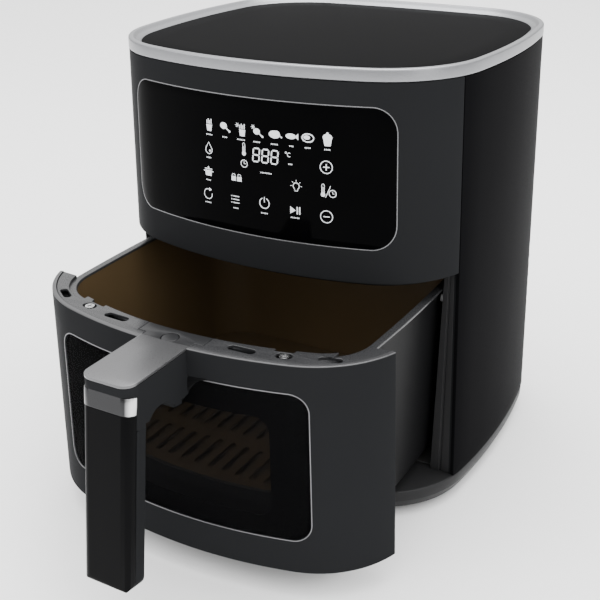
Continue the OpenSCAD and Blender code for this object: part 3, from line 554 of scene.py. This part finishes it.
def painted_highlight_line(name, surface, rect, slot, body, width=0.75, proud=0.12):
    """A thin strip on a pane's bevel in a lighter metallic look: a painted highlight for the light
    that the bevel catches.
    """
    half_w, z0, z1, r = rect
    hole = (half_w - width, z0 + width, z1 - width, r - width)
    outer = edge_stations(grown_loop(rect), 0.0, 0.2, 1.0, True)
    inner = edge_stations(grown_loop(hole), 0.0, 0.2, 1.0, False)
    stations = list(reversed(inner)) + outer
    loops = [[surface.place(q, z, inset - proud) for q, z in loop] for loop, inset in stations]
    line = new_object(name, *bridge(loops, close=True))
    return finish(line, slot, body, look="painted_highlight_edge")


# ---------- CAD nodes that stay ----------

slot_of = {part["node"]: part["material_slot"] for part in frame["record"]["subparts"]}
LOOKS = {"grip_band": "band_metal", "handle_arm": "front_plastic", "grip_rear": "front_plastic"}


def dress_cad_nodes():
    for name, node in nodes.items():
        node.data.materials.clear()
        node.data.materials.append(MATERIALS[LOOKS.get(name, slot_of[name])])
        weld = node.modifiers.new("weld", "WELD")
        weld.merge_threshold = 0.00001
        edge = node.modifiers.new("soft_edges", "BEVEL")
        edge.width = 0.0004
        edge.segments = 2
        edge.limit_method = "ANGLE"
        edge.angle_limit = radians(40)
        edge.harden_normals = False
        edge.use_clamp_overlap = True


dress_cad_nodes()

# ---------- housing ----------

FRONT = Surface()
REAR = Surface(back=True)
DRAWER = Surface(shift=(-DRAWER_OUT, -DRAWER_DROP))


def build_base():
    z0, z1 = base_low.z, base_high.z
    profile = [(z0 + 2, 14), (z0, 12.5), (z0, 6), (z0 + 0.4, 5), (z0 + 1.2, 4.0), (z0 + 7, 1.35),
               (z0 + 7.6, 1.0), (z0 + 8, 0.85), (z1 - 1.4, 0.4), (z1 - 0.6, 0.6), (z1 - 0.1, 1.2),
               (z1, 2.0), (z1, 30)]
    base = swept_ring("base_shell", profile, cap=True)
    finish(base, "base_plastic", "housing", "base_tray")


def build_side_casing():
    reach = REAR.reach - GAP
    grille_low, grille_high = box_mm("air_outlet_grille")
    hole = pane_rect(REAR.q_at_x(grille_high.x), grille_low, grille_high, 8.0, GAP)
    casing = framed_panel("side_casing", REAR, (reach, shell_low.z, shell_high.z, 0.6), hole,
                          WALL, bevel=0.5, rings=24)
    finish(casing, "housing_plastic", "housing", "side_shell")


def build_seam_strips():
    """The upright returns of the side casing beside the drawer's opening."""
    width, inset = 4.0, 1.0
    for side, name in ((-1, "left"), (1, "right")):
        loops = []
        for z in (base_high.z + GAP, cover_low.z - GAP):
            plan = housing_outline(z)
            near = plan.find(lambda x, y: y > SEAM_Y + 2 * GAP)
            far = plan.find(lambda x, y: y > SEAM_Y + 2 * GAP + width)
            ring = [plan.point(near, inset), plan.point(far, inset),
                    plan.point(far, inset + width), plan.point(near, inset + width)]
            loops.append([Vector((side * x, y + HOUSING_Y, z)) * MM for x, y in ring])
        strip = new_object(f"seam_strip_{name}", *bridge(loops))
        finish(strip, "black_plastic", "housing", look="front_plastic")


def build_front_casing():
    reach = FRONT.reach - 0.2
    hole = (FRONT.q_at_x(glass_high.x + GAP), glass_low.z - GAP, glass_high.z + GAP, 18.0)
    casing = framed_panel("front_casing", FRONT, (reach, cover_low.z, cover_high.z, 0.8), hole,
                          WALL, bevel=0.8, hole_bevel=0.5)
    finish(casing, "front_plastic", "housing", "front_cover")
    pane_q = FRONT.q_at_x(glass_high.x)
    rect = pane_rect(pane_q, glass_low, glass_high, 17.7)
    pane = curved_pane("control_pane", FRONT, rect, WALL, bevel=0.7)
    finish(pane, "control_glass", "housing", "control_glass")
    painted_highlight_line("glass_edge_highlight", FRONT, pane_rect(pane_q, glass_low, glass_high, 18.0, GAP),
                "control_glass", "housing")


def build_top():
    z0, z1 = ring_low.z, ring_high.z
    profile = [(z0, 0.3), (z0 + 0.15, 0.0), (z0 + 0.5, -0.25), (z0 + 1.2, -0.3), (z1 - 1.6, -0.3),
               (z1 - 0.9, -0.15), (z1 - 0.35, 0.3), (z1 - 0.08, 0.9), (z1, 1.5), (z1, 3.0),
               (z1 - 0.12, 3.5), (z1 - 0.5, 3.95), (z1 - 2.2, 5.0), (z1 - 3.1, 6.2),
               (z1 - 4.2, 9.0), (z1 - 4.8, 9.5), (z0, 9.5)]
    finish(swept_ring("top_ring", profile, steps=128), "silver_plastic", "housing", "trim_ring")
    low, high = box_mm("top_panel")
    lid = [(low.z, 9.7), (high.z - 0.5, 9.7), (high.z - 0.15, 9.85), (high.z, 10.3),
           (high.z, 30), (high.z, 58)]
    finish(swept_ring("top_plate", lid, steps=128, cap=True), "housing_plastic", "housing",
           "top_panel", look="top_plastic")


# ---------- drawer ----------


def build_drawer_front():
    reach = DRAWER.reach - 0.4
    pane_q = DRAWER.q_at_x(pane_high.x)
    outer = (reach, fascia_low.z, fascia_high.z, 0.9)
    hole = pane_rect(pane_q, pane_low, pane_high, 14.0, GAP)
    fascia = framed_panel("drawer_fascia", DRAWER, outer, hole, WALL, bevel=0.9, hole_bevel=0.5)
    finish(fascia, "front_plastic", "drawer", "drawer_front")
    # Upward-facing faces along the fascia's top edge get the lighter metallic look: a painted
    # highlight for the light that the top bevel catches.
    fascia.data.materials.append(MATERIALS["painted_top_edge_highlight"])
    for face in fascia.data.polygons:
        if face.normal.z > 0.3 and face.center.z > (PANEL_TOP - 1.4) * MM:
            face.material_index = 1
    rect = pane_rect(pane_q, pane_low, pane_high, 13.7)
    pane = curved_pane("window_pane", DRAWER, rect, WALL, bevel=0.7, rings=24)
    finish(pane, "window_glass", "drawer", "outer_window")
    view_q = DRAWER.q_at_x(inner_high.x + 3)
    border = framed_panel("window_border", DRAWER,
                          pane_rect(pane_q, pane_low, pane_high, 17.7, 4),
                          (view_q, inner_low.z - 5, inner_high.z + 4, 11.0), 1.2, 0.3, 0.3,
                          rings=24, sink=WALL + 0.8)
    finish(border, "rubber", "drawer", "window_gasket", look="border_print")
    painted_highlight_line("window_edge_highlight", DRAWER, hole, "window_glass", "drawer")


# ---------- basket ----------


def drawer_plan(loop):
    """Moves a plan drawn in the shut drawer's own frame to where the drawer stands."""
    return [(x, y + DRAWER_Y) for x, y in loop]


def quarter_turn(steps):
    return [pi / 2 * i / steps for i in range(steps + 1)]


def basket_quarter(grow, back=False):
    bulge = BASKET_SIDE_BULGE if back else BASKET_BULGE
    return Outline(BASKET_HALF_W + grow, BASKET_HALF_D + grow, bulge, BASKET_SIDE_BULGE,
                   BASKET_CORNER + grow, back)


def basket_loop(z, grow, flange=0.0, steps=44):
    """The basket's inside outline at a height, grown; its flange fades out at the front."""
    grow += BASKET_TAPER * (z - basket_high.z)
    loop = []
    for x, y in full_loop(basket_quarter(grow), basket_quarter(grow, back=True), steps):
        share = (y + BASKET_HALF_D - 12.0) / 24.0
        share = min(max(share, (abs(x) - 70.0) / 20.0, 0.4), 1.0)
        out = Vector((x / 1.1, y)).normalized() * flange * share
        loop.append(Vector((x + out.x, y + out.y + BASKET_MIDDLE + DRAWER_Y, z)) * MM)
    return loop


def basket_side(face):
    """0 for the basket's coated inside, 1 for its outside and 2 for its satin flange."""
    place = Vector(face.center) / MM
    if place.z > basket_high.z - 2.2:
        return 2
    if face.normal.z < -0.5:
        return 1
    if face.normal.z > 0.5:
        return 0
    away = face.normal.x * place.x + face.normal.y * (place.y - BASKET_MIDDLE - DRAWER_Y)
    return 1 if away > 0 else 0


def build_basket():
    low, top = basket_low.z, basket_high.z
    turn = quarter_turn(6)
    lip = BASKET_FLANGE - BASKET_WALL
    profile = [(low + 9 * (1 - cos(a)), BASKET_WALL - 9 * (1 - sin(a)), 0) for a in turn]
    flange = [(4, 0), (2.6, 0.1), (2.1, 0.6), (2.0, lip - 0.5), (1.6, lip), (0.6, lip),
              (0.1, lip - 0.3), (0, lip - 0.8), (0, 0)]
    profile += [(top - down, BASKET_WALL, out) for down, out in flange]
    profile += [(top - 0.2, 0.7, 0), (top - 0.8, 0.2, 0), (top - 1.8, 0, 0)]
    profile += [(low + BASKET_WALL + 8 * (1 - cos(a)), -8 * (1 - sin(a)), 0)
                for a in reversed(turn)]
    piece = new_object("basket_shell", *bridge([basket_loop(*station) for station in profile]))
    hole = rounded_loop(inner_high.x + 0.2, inner_low.z - 0.2, inner_high.z + 0.2, 10.0, 6, 6)
    walls = [[Vector((x, y + DRAWER_Y, z)) * MM for x, z in hole]
             for y in (BASKET_FRONT - 12, BASKET_FRONT + 26)]
    cut_hole(piece, *bridge(walls))
    finish(piece, "nonstick_coating", "drawer", "basket")
    piece.data.materials.append(MATERIALS["basket_outside"])
    piece.data.materials.append(MATERIALS["rim_plastic"])
    for face in piece.data.polygons:
        face.material_index = basket_side(face)


# ---------- rim ----------

# Places on the rim are in the shut drawer's own frame
CENTRE_HALF_W, NECK_HALF_W, CENTRE_STEP_Y = 26.0, 19.6, -130.0
RIM_THICK, RIM_SINK, RIM_GAP = 2.2, 0.5, 0.5
RIM_BEVEL, RIM_FLOOR_DEPTH = 0.35, 7.0
RIM_END_Y = SEAM_Y - 1.0
SCREW_X, SCREW_Y = 79.5, -117.0
LEDGES = {-1: 91.0, 1: 108.0}
END_SLOTS = {-1: (-109.0, -108.7, -35.0), 1: (108.0, -107.7, 16.0)}


def rim_outer(first_x, last_y=None, last_x=None, steps=60):
    """The line just inside the panel, from one width to a depth or to another width."""
    plan = housing_outline(PANEL_TOP + DRAWER_DROP)
    inset = WALL + RIM_GAP
    start = plan.find(lambda x, y: x > first_x)
    end = plan.find(lambda x, y: y > last_y if last_x is None else x > last_x)
    return plan.run(start, end, steps, inset)


def rim_inner(back, first_x, last_x, steps=24):
    """The covers' inner edge between two widths, going inward, set back from the basket's edge."""
    plan = basket_quarter(back)
    start = plan.find(lambda x, y: x > first_x)
    end = plan.find(lambda x, y: x > last_x)
    return [(x, y + BASKET_MIDDLE) for x, y in plan.run(end, start, steps)]


def side_cover_plan(side):
    """The plan of one side cover; past its ledge it steps back from the basket's corner."""
    outer = rim_outer(NECK_HALF_W + GAP, RIM_END_Y)
    corner = basket_quarter(5.0)
    corner_end = corner.find(lambda x, y: y > RIM_END_Y - BASKET_MIDDLE)
    ledge_start = corner.find(lambda x, y: x > LEDGES[side])
    inner = [(x, y + BASKET_MIDDLE) for x, y in corner.run(corner_end, ledge_start, 24)]
    inner += rim_inner(-0.6, 83.2, LEDGES[side]) + rim_inner(2.0, 70.0, 83.0)
    inner += rim_inner(-0.6, CENTRE_HALF_W + GAP, 69.8)
    step = [(half_w + GAP, CENTRE_STEP_Y - GAP) for half_w in (CENTRE_HALF_W, NECK_HALF_W)]
    return [(side * x, y) for x, y in outer + inner + step]


def build_rim():
    top = PANEL_TOP - RIM_SINK
    for side, name in ((-1, "left"), (1, "right")):
        end_x, end_y, end_turn = END_SLOTS[side]
        holes = [slot_loop(side * 51, -122.4, 20, 6.4, side * 3),
                 slot_loop(side * SCREW_X, SCREW_Y, 11, 7.6, side * 14, 3.6),
                 slot_loop(end_x, end_y, 16, 5.6, end_turn)]
        loops = [drawer_plan(loop) for loop in [side_cover_plan(side)] + holes]
        plate = plan_plate(f"rim_plate_{name}", loops, top, RIM_THICK, RIM_BEVEL)
        finish(plate, "rim_plastic", "drawer", f"rim_cover_{name}")
    build_rim_floor()
    outer = rim_outer(0.0, last_x=NECK_HALF_W, steps=12)
    inner = rim_inner(-0.6, 0.0, CENTRE_HALF_W, 12)
    right = outer + [(NECK_HALF_W, CENTRE_STEP_Y), (CENTRE_HALF_W, CENTRE_STEP_Y)] + inner
    cap_low, cap_high = box_mm("round_cap")
    cap_r = (cap_high.x - cap_low.x) / 2
    cap_y = (cap_high.y + cap_low.y) / 2 - DRAWER_Y
    ring = slot_loop(0, cap_y, 2 * cap_r + 0.8, 2 * cap_r + 0.8)
    plate = plan_plate("rim_plate_centre", [drawer_plan(mirrored(right)), drawer_plan(ring)],
                       top, RIM_THICK, RIM_BEVEL)
    finish(plate, "rim_plastic", "drawer", "rim_cover_centre", look="rim_centre_plastic")
    disc = slot_loop(0, cap_y, 2 * cap_r, 2 * cap_r)
    cap = plan_plate("rim_round_cap", [drawer_plan(disc)], top - 0.1, 1.6, 0.6)
    finish(cap, "rim_plastic", "drawer", "round_cap", look="rim_centre_plastic")


def build_rim_floor():
    """The closed floor of the pockets under the rim covers."""
    plan = basket_quarter(BASKET_WALL + 0.4)
    end = plan.find(lambda x, y: y > RIM_END_Y - BASKET_MIDDLE)
    right = rim_outer(0.0, RIM_END_Y)
    right += [(x, y + BASKET_MIDDLE) for x, y in plan.run(end, 0.0, 40)]
    piece = plan_plate("rim_floor", [drawer_plan(mirrored(right))], PANEL_TOP - RIM_FLOOR_DEPTH,
                       1.2, 0.2)
    finish(piece, "black_plastic", "drawer")


# ---------- handle ----------

PAD_DEPTH, PAD_HALF_W, PAD_FOOT_HALF_W = 20.0, 34.0, 14.0


def build_handle_plate():
    """The satin plate on the handle's arm; its back edge covers the panel's edge."""
    half_w = plate_high.x
    front_y = plate_low.y - DRAWER_Y
    r = 9.0
    back = rim_outer(0.0, last_x=half_w, steps=12)
    right = [(half_w - r + r * sin(a), front_y + r - r * cos(a)) for a in quarter_turn(10)]
    loop = mirrored([(0.0, front_y)] + right + list(reversed(back)))
    plate = plan_plate("handle_top_plate", [drawer_plan(loop)], PANEL_TOP + 0.35, 2.2, 0.45)
    finish(plate, "handle_plate_plastic", "drawer", "handle_plate")


def build_handle_pad():
    """The lobe below the arm's root that laps over the top of the window."""
    top = pane_high.z + 1.0
    flank = []
    for i in range(25):
        f = i / 24
        ease = f * f * (3 - 2 * f)
        flank.append((PAD_FOOT_HALF_W + (PAD_HALF_W - PAD_FOOT_HALF_W) * f ** 1.6,
                      top - PAD_DEPTH * (1 - ease)))
    foot = [(PAD_FOOT_HALF_W * i / 6, top - PAD_DEPTH) for i in range(6)]
    right = foot + flank
    outline = right + [(-q, z) for q, z in reversed(right[1:])]
    middle = top - PAD_DEPTH / 2
    stations = [(0.3, -0.9), (0.9, -1.0), (0.97, -0.9), (1.0, -0.5), (1.0, 0.4), (0.3, 0.6)]
    loops = [[DRAWER.place(q * f, middle + (z - middle) * f, inset) for q, z in outline]
             for f, inset in stations]
    piece = new_object("handle_pad", *bridge(loops))
    finish(piece, "black_plastic", "drawer")


# ---------- printed icons ----------


class Print:
    """Flat print on the control glass, drawn in millimetres round an icon's own centre."""

    PROUD = 0.05
    BULGE_R = 318.0  # the front's radius across its middle

    def __init__(self, x, z):
        self.x, self.z = x, z
        self.vertices, self.faces = [], []

    def add(self, points):
        start = len(self.vertices)
        for x, z in points:
            q = self.BULGE_R * asin((self.x + x) / self.BULGE_R)
            self.vertices.append(FRONT.place(q, self.z + z, -self.PROUD))
        self.faces.append(tuple(range(start, len(self.vertices))))

    def fill(self, points):
        self.add(points)
        return self

    def line(self, points, width=0.55, closed=False):
        """A stroke of even width with mitred corners."""
        count = len(points)
        sides = []
        for i, (x, z) in enumerate(points):
            before = points[i - 1] if (i or closed) else points[i]
            after = points[(i + 1) % count] if (i < count - 1 or closed) else points[i]
            dx, dz = after[0] - before[0], after[1] - before[1]
            length = hypot(dx, dz) or 1.0
            nx, nz = -dz / length * width / 2, dx / length * width / 2
            sides.append(((x + nx, z + nz), (x - nx, z - nz)))
        for i in range(count if closed else count - 1):
            (a, b), (c, d) = sides[i], sides[(i + 1) % count]
            self.add([a, b, d, c])
        return self

    def arc(self, cx, cz, r, start, end, width=0.55, squash=1.0):
        steps = max(6, int(abs(end - start) / 12))
        angles = [radians(start + (end - start) * i / steps) for i in range(steps + 1)]
        points = [(cx + r * cos(a), cz + squash * r * sin(a)) for a in angles]
        return self.line(points, width)

    def disc(self, cx, cz, r, squash=1.0):
        angles = [2 * pi * i / 16 for i in range(16)]
        return self.fill([(cx + r * cos(a), cz + squash * r * sin(a)) for a in angles])

    def build(self, name):
        piece = new_object(name, self.vertices, self.faces)
        return finish(piece, "control_glass", "housing", look="icon_print")


def fries(p, x=0.0, z=0.0, k=1.0):
    p.fill([(x - 2.6 * k, z + 0.4 * k), (x + 2.6 * k, z + 0.4 * k), (x + 1.9 * k, z - 4.2 * k),
            (x - 1.9 * k, z - 4.2 * k)])
    for i in range(4):
        left = x + (-2.3 + 1.25 * i) * k
        tall = (3.4 + (i % 2)) * k
        p.fill([(left, z + 0.9 * k), (left + 0.8 * k, z + 0.9 * k), (left + 0.8 * k, z + tall),
                (left, z + tall)])
    return p


def drumstick(p, x=0.0, z=0.0, k=1.0):
    p.disc(x - 0.9 * k, z + 0.6 * k, 2.7 * k, 0.8)
    p.line([(x + 1.0 * k, z - 0.7 * k), (x + 3.6 * k, z - 2.6 * k)], 0.9 * k)
    return p.disc(x + 3.7 * k, z - 2.7 * k, 0.75 * k)


def snowflake(p, x, z, r=1.7):
    for turn in (0, 60, 120):
        dx, dz = r * cos(radians(turn)), r * sin(radians(turn))
        p.line([(x - dx, z - dz), (x + dx, z + dz)], 0.4)
    return p


def thermometer(p, x=0.0, z=0.0):
    p.line([(x - 0.9, z - 2.0), (x - 0.9, z + 3.6), (x, z + 4.4), (x + 0.9, z + 3.6),
            (x + 0.9, z - 2.0)], 0.45)
    p.line([(x, z - 2.6), (x, z + 2.0)], 0.6)
    return p.disc(x, z - 3.2, 1.6)


def clock(p, x=0.0, z=0.0, r=3.0):
    p.arc(x, z, r, 0, 360)
    return p.line([(x, z + r * 0.6), (x, z), (x + r * 0.5, z)], 0.5)


def ringed(p, r=4.3):
    return p.arc(0, 0, r, 0, 360, 0.6)


def seven_segment_digit(p, x, w=5.0, h=9.4, t=1.0):
    gap, lean = 0.25, 0.1

    def bar(a, b):
        (x0, z0), (x1, z1) = a, b
        shear = lean * (z0 + z1) / 2
        if x0 == x1:
            points = [(x0 - t / 2, z0), (x0, z0 - t / 2), (x0 + t / 2, z0), (x0 + t / 2, z1),
                      (x0, z1 + t / 2), (x0 - t / 2, z1)]
        else:
            points = [(x0, z0 - t / 2), (x1, z0 - t / 2), (x1 + t / 2, z0), (x1, z0 + t / 2),
                      (x0, z0 + t / 2), (x0 - t / 2, z0)]
        p.fill([(px + lean * pz if x0 == x1 else px + shear, pz) for px, pz in points])

    low, high, cross = -h / 2, h / 2, t / 2 + gap
    for z in (low, 0.0, high):
        bar((x + cross, z), (x + w - cross, z))
    for side in (x, x + w):
        bar((side, low + cross), (side, -cross))
        bar((side, cross), (side, high - cross))


def caption_marks(name, x, z, count):
    """A row of tiny marks in the place of a caption."""
    p = Print(x, z)
    for i in range(count):
        left = (i - count / 2) * 1.15
        p.fill([(left, -0.45), (left + 0.7, -0.45), (left + 0.7, 0.45), (left, 0.45)])
    return p.build(name)


def build_icons():
    """The icons by their places on the glass, row by row from the top."""
    row = 294.0
    fries(Print(-30, row)).build("icon_fries")
    drumstick(Print(-16, row), 0, 0.6, 1.1).build("icon_wings")
    snowflake(fries(Print(-2, row), 1.0), -3.0, 3.2).build("icon_frozen_fries")
    snowflake(drumstick(Print(11, row), 0.8), -3.0, 3.4).build("icon_frozen_wings")
    chicken = Print(25, row).disc(0, 0, 4.4, 0.62)
    drumstick(chicken, 2.4, 0.6, 0.8).build("icon_chicken")
    fish = Print(38, row).disc(-0.6, 0, 3.9, 0.5)
    fish.fill([(2.4, 0), (5.0, 2.2), (5.0, -2.2)]).build("icon_fish")
    steak = Print(50, row).arc(0, 0, 4.2, 0, 360, 0.8, 0.66).disc(-0.8, 0.3, 2.4, 0.62)
    steak.build("icon_steak")
    cake = Print(64, row).disc(0, 1.4, 3.4, 0.75)
    cake.fill([(-3.0, 0.2), (3.0, 0.2), (2.1, -4.4), (-2.1, -4.4)]).disc(0, 4.2, 0.8)
    cake.build("icon_cupcake")

    drop = Print(-31, 277).arc(0, -1.0, 2.9, 150, 390, 0.6)
    drop.line([(-2.5, 0.45), (0, 4.6), (2.5, 0.45)], 0.6).disc(0.9, -1.6, 0.8)
    drop.build("icon_droplet")
    thermometer(Print(0, 281)).build("icon_small_thermometer")
    clock(Print(0, 270.5), r=2.6).build("icon_small_clock")
    digits = Print(7, 278)
    for i in range(3):
        seven_segment_digit(digits, 0.6 + 7.3 * i)
    digits.build("display_digits")
    unit = Print(35, 281).arc(-1.4, 1.3, 0.6, 0, 360, 0.35).arc(1.0, 0, 1.3, 50, 310, 0.5)
    unit.build("icon_degree")
    ringed(Print(63, 275)).line([(-2.2, 0), (2.2, 0)], 0.7).line([(0, -2.2), (0, 2.2)], 0.7) \
        .build("icon_plus")

    pot = Print(-32, 260).fill([(-3.1, 1.0), (3.1, 1.0), (2.6, -3.2), (-2.6, -3.2)])
    pot.line([(-3.4, 1.9), (3.4, 1.9)], 0.7).line([(-4.4, 0.2), (-3.2, 0.2)], 0.7)
    pot.line([(3.2, 0.2), (4.4, 0.2)], 0.7).disc(0, 3.0, 0.7).build("icon_pot")
    lock = Print(-7, 260).fill([(-4.2, 0.2), (-0.4, 0.2), (-0.4, -3.2), (-4.2, -3.2)])
    lock.fill([(0.6, 0.2), (4.4, 0.2), (4.4, -3.2), (0.6, -3.2)])
    lock.arc(-2.3, 0.6, 1.3, 0, 180, 0.5).arc(2.5, 0.6, 1.3, 0, 180, 0.5).build("icon_lock")
    bulb = Print(41, 259).arc(0, 0.6, 2.3, -55, 235, 0.55)
    bulb.line([(-1.2, -1.4), (-1.0, -2.9), (1.0, -2.9), (1.2, -1.4)], 0.5)
    for turn in range(0, 181, 45):
        dx, dz = cos(radians(turn)), sin(radians(turn))
        bulb.line([(3.2 * dx, 0.6 + 3.2 * dz), (4.3 * dx, 0.6 + 4.3 * dz)], 0.4)
    bulb.build("icon_bulb")
    slash = Print(64, 258)
    thermometer(slash, -3.4, 0.9).line([(-1.6, -4.2), (2.0, 4.2)], 0.45)
    clock(slash, 3.4, -1.2, 2.5).build("icon_temperature_time")

    loop = Print(-33, 243).arc(0, 0, 3.7, 70, 370, 0.6)
    loop.fill([(1.0, 5.0), (1.0, 2.1), (3.4, 3.4)]).build("icon_loop")
    menu = Print(-8, 243)
    for z in (-2.4, 0, 2.4):
        menu.line([(-2.3, z), (3.0, z)], 0.65).disc(-3.5, z, 0.45)
    menu.build("icon_menu")
    Print(16, 244).arc(0, 0, 3.8, 115, 425, 0.65).line([(0, 0.6), (0, 4.6)], 0.7) \
        .build("icon_power")
    play = Print(40, 242).fill([(-3.8, -2.7), (-3.8, 2.7), (0.4, 0)])
    play.line([(1.6, -2.7), (1.6, 2.7)], 0.9).line([(3.4, -2.7), (3.4, 2.7)], 0.9)
    play.build("icon_play_pause")
    ringed(Print(63, 240)).line([(-2.2, 0), (2.2, 0)], 0.7).build("icon_minus")


def build_captions():
    columns = [(-30, 5), (-16, 4), (-2, 6), (11, 5), (25, 5), (38, 3), (50, 4), (64, 4)]
    for i, (x, count) in enumerate(columns):
        caption_marks(f"caption_row_{i}", x, 287.2, count)
    lower = [(-31, 270.3, 4), (-32, 253.6, 4), (-33, 236.6, 5), (-8, 236.6, 4), (16, 236.6, 5),
             (40, 236.6, 6), (18, 266.0, 8), (37, 274.5, 3)]
    for i, (x, z, count) in enumerate(lower):
        caption_marks(f"caption_low_{i}", x, z, count)


build_icons()
build_captions()
build_base()
build_side_casing()
build_seam_strips()
build_front_casing()
build_top()
build_drawer_front()
build_basket()
build_rim()
build_handle_plate()
build_handle_pad()


# ---------- stage, light and camera ----------

CAMERA_PLACE = Vector((0.37522, -0.62250, 0.48348))
CAMERA_AZIMUTH = 30.06
CAMERA_ELEVATION = 24.945
CAMERA_ROLL = -0.83
CAMERA_LENS = 61.25


def stage_material():
    material, tree, shader, vector = node_material("stage_white")
    speck = noise(tree, vector, 40.0)
    tree.links.new(tint(tree, speck, (0.86, 0.86, 0.86), (0.88, 0.88, 0.88)),
                   shader.inputs["Base Color"])
    shader.inputs["Roughness"].default_value = 0.9
    return material


def build_stage():
    """A pale floor in metres, just below the feet."""
    size, height = 6.0, -0.0005
    corners = [(-size, -size), (size, -size), (size, size), (-size, size)]
    floor = new_object("studio_floor", [(x, y, height) for x, y in corners], [(0, 1, 2, 3)])
    floor.data.materials.append(stage_material())


def area_light(name, place, target, size, power):
    data = bpy.data.lights.new(name, "AREA")
    data.shape = "RECTANGLE"
    data.size, data.size_y = size
    data.energy = power
    light = bpy.data.objects.new(name, data)
    light.location = place
    direction = Vector(target) - Vector(place)
    light.rotation_euler = direction.to_track_quat("-Z", "Y").to_euler()
    bpy.context.scene.collection.objects.link(light)


def build_world():
    """A soft sky, brighter overhead than at the horizon, so that upright faces stay dark."""
    world = bpy.data.worlds.new("studio_world")
    world.use_nodes = True
    tree = world.node_tree
    direction = tree.nodes.new("ShaderNodeTexCoord")
    split = tree.nodes.new("ShaderNodeSeparateXYZ")
    tree.links.new(direction.outputs["Generated"], split.inputs["Vector"])
    background = tree.nodes["Background"]
    background.inputs["Color"].default_value = (1, 1, 1, 1)
    tree.links.new(ramp(tree, split.outputs["Z"], 0.8, 3.6, 0.0, 1.0),
                   background.inputs["Strength"])
    bpy.context.scene.world = world


def build_lights():
    area_light("key_left", (-1.3, -1.2, 1.2), (0, 0, 0.2), (1.0, 1.4), 10)
    area_light("fill_right", (1.6, -0.6, 0.9), (0, 0, 0.15), (0.8, 1.4), 7)
    area_light("top_soft", (0, 0.3, 1.8), (0, 0, 0.2), (1.6, 1.2), 40)


def build_camera():
    azimuth, elevation = radians(CAMERA_AZIMUTH), radians(CAMERA_ELEVATION)
    back = Vector((cos(elevation) * sin(azimuth), -cos(elevation) * cos(azimuth), sin(elevation)))
    right = Vector((cos(azimuth), sin(azimuth), 0))
    turn = Matrix((right, back.cross(right), back)).transposed()
    turn = turn @ Matrix.Rotation(radians(CAMERA_ROLL), 3, "Z")
    data = bpy.data.cameras.new("camera")
    data.lens = CAMERA_LENS
    data.sensor_width = 36.0
    camera = bpy.data.objects.new("camera", data)
    camera.matrix_world = Matrix.Translation(CAMERA_PLACE) @ turn.to_4x4()
    bpy.context.scene.collection.objects.link(camera)
    bpy.context.scene.camera = camera


build_stage()
build_world()
build_lights()
build_camera()
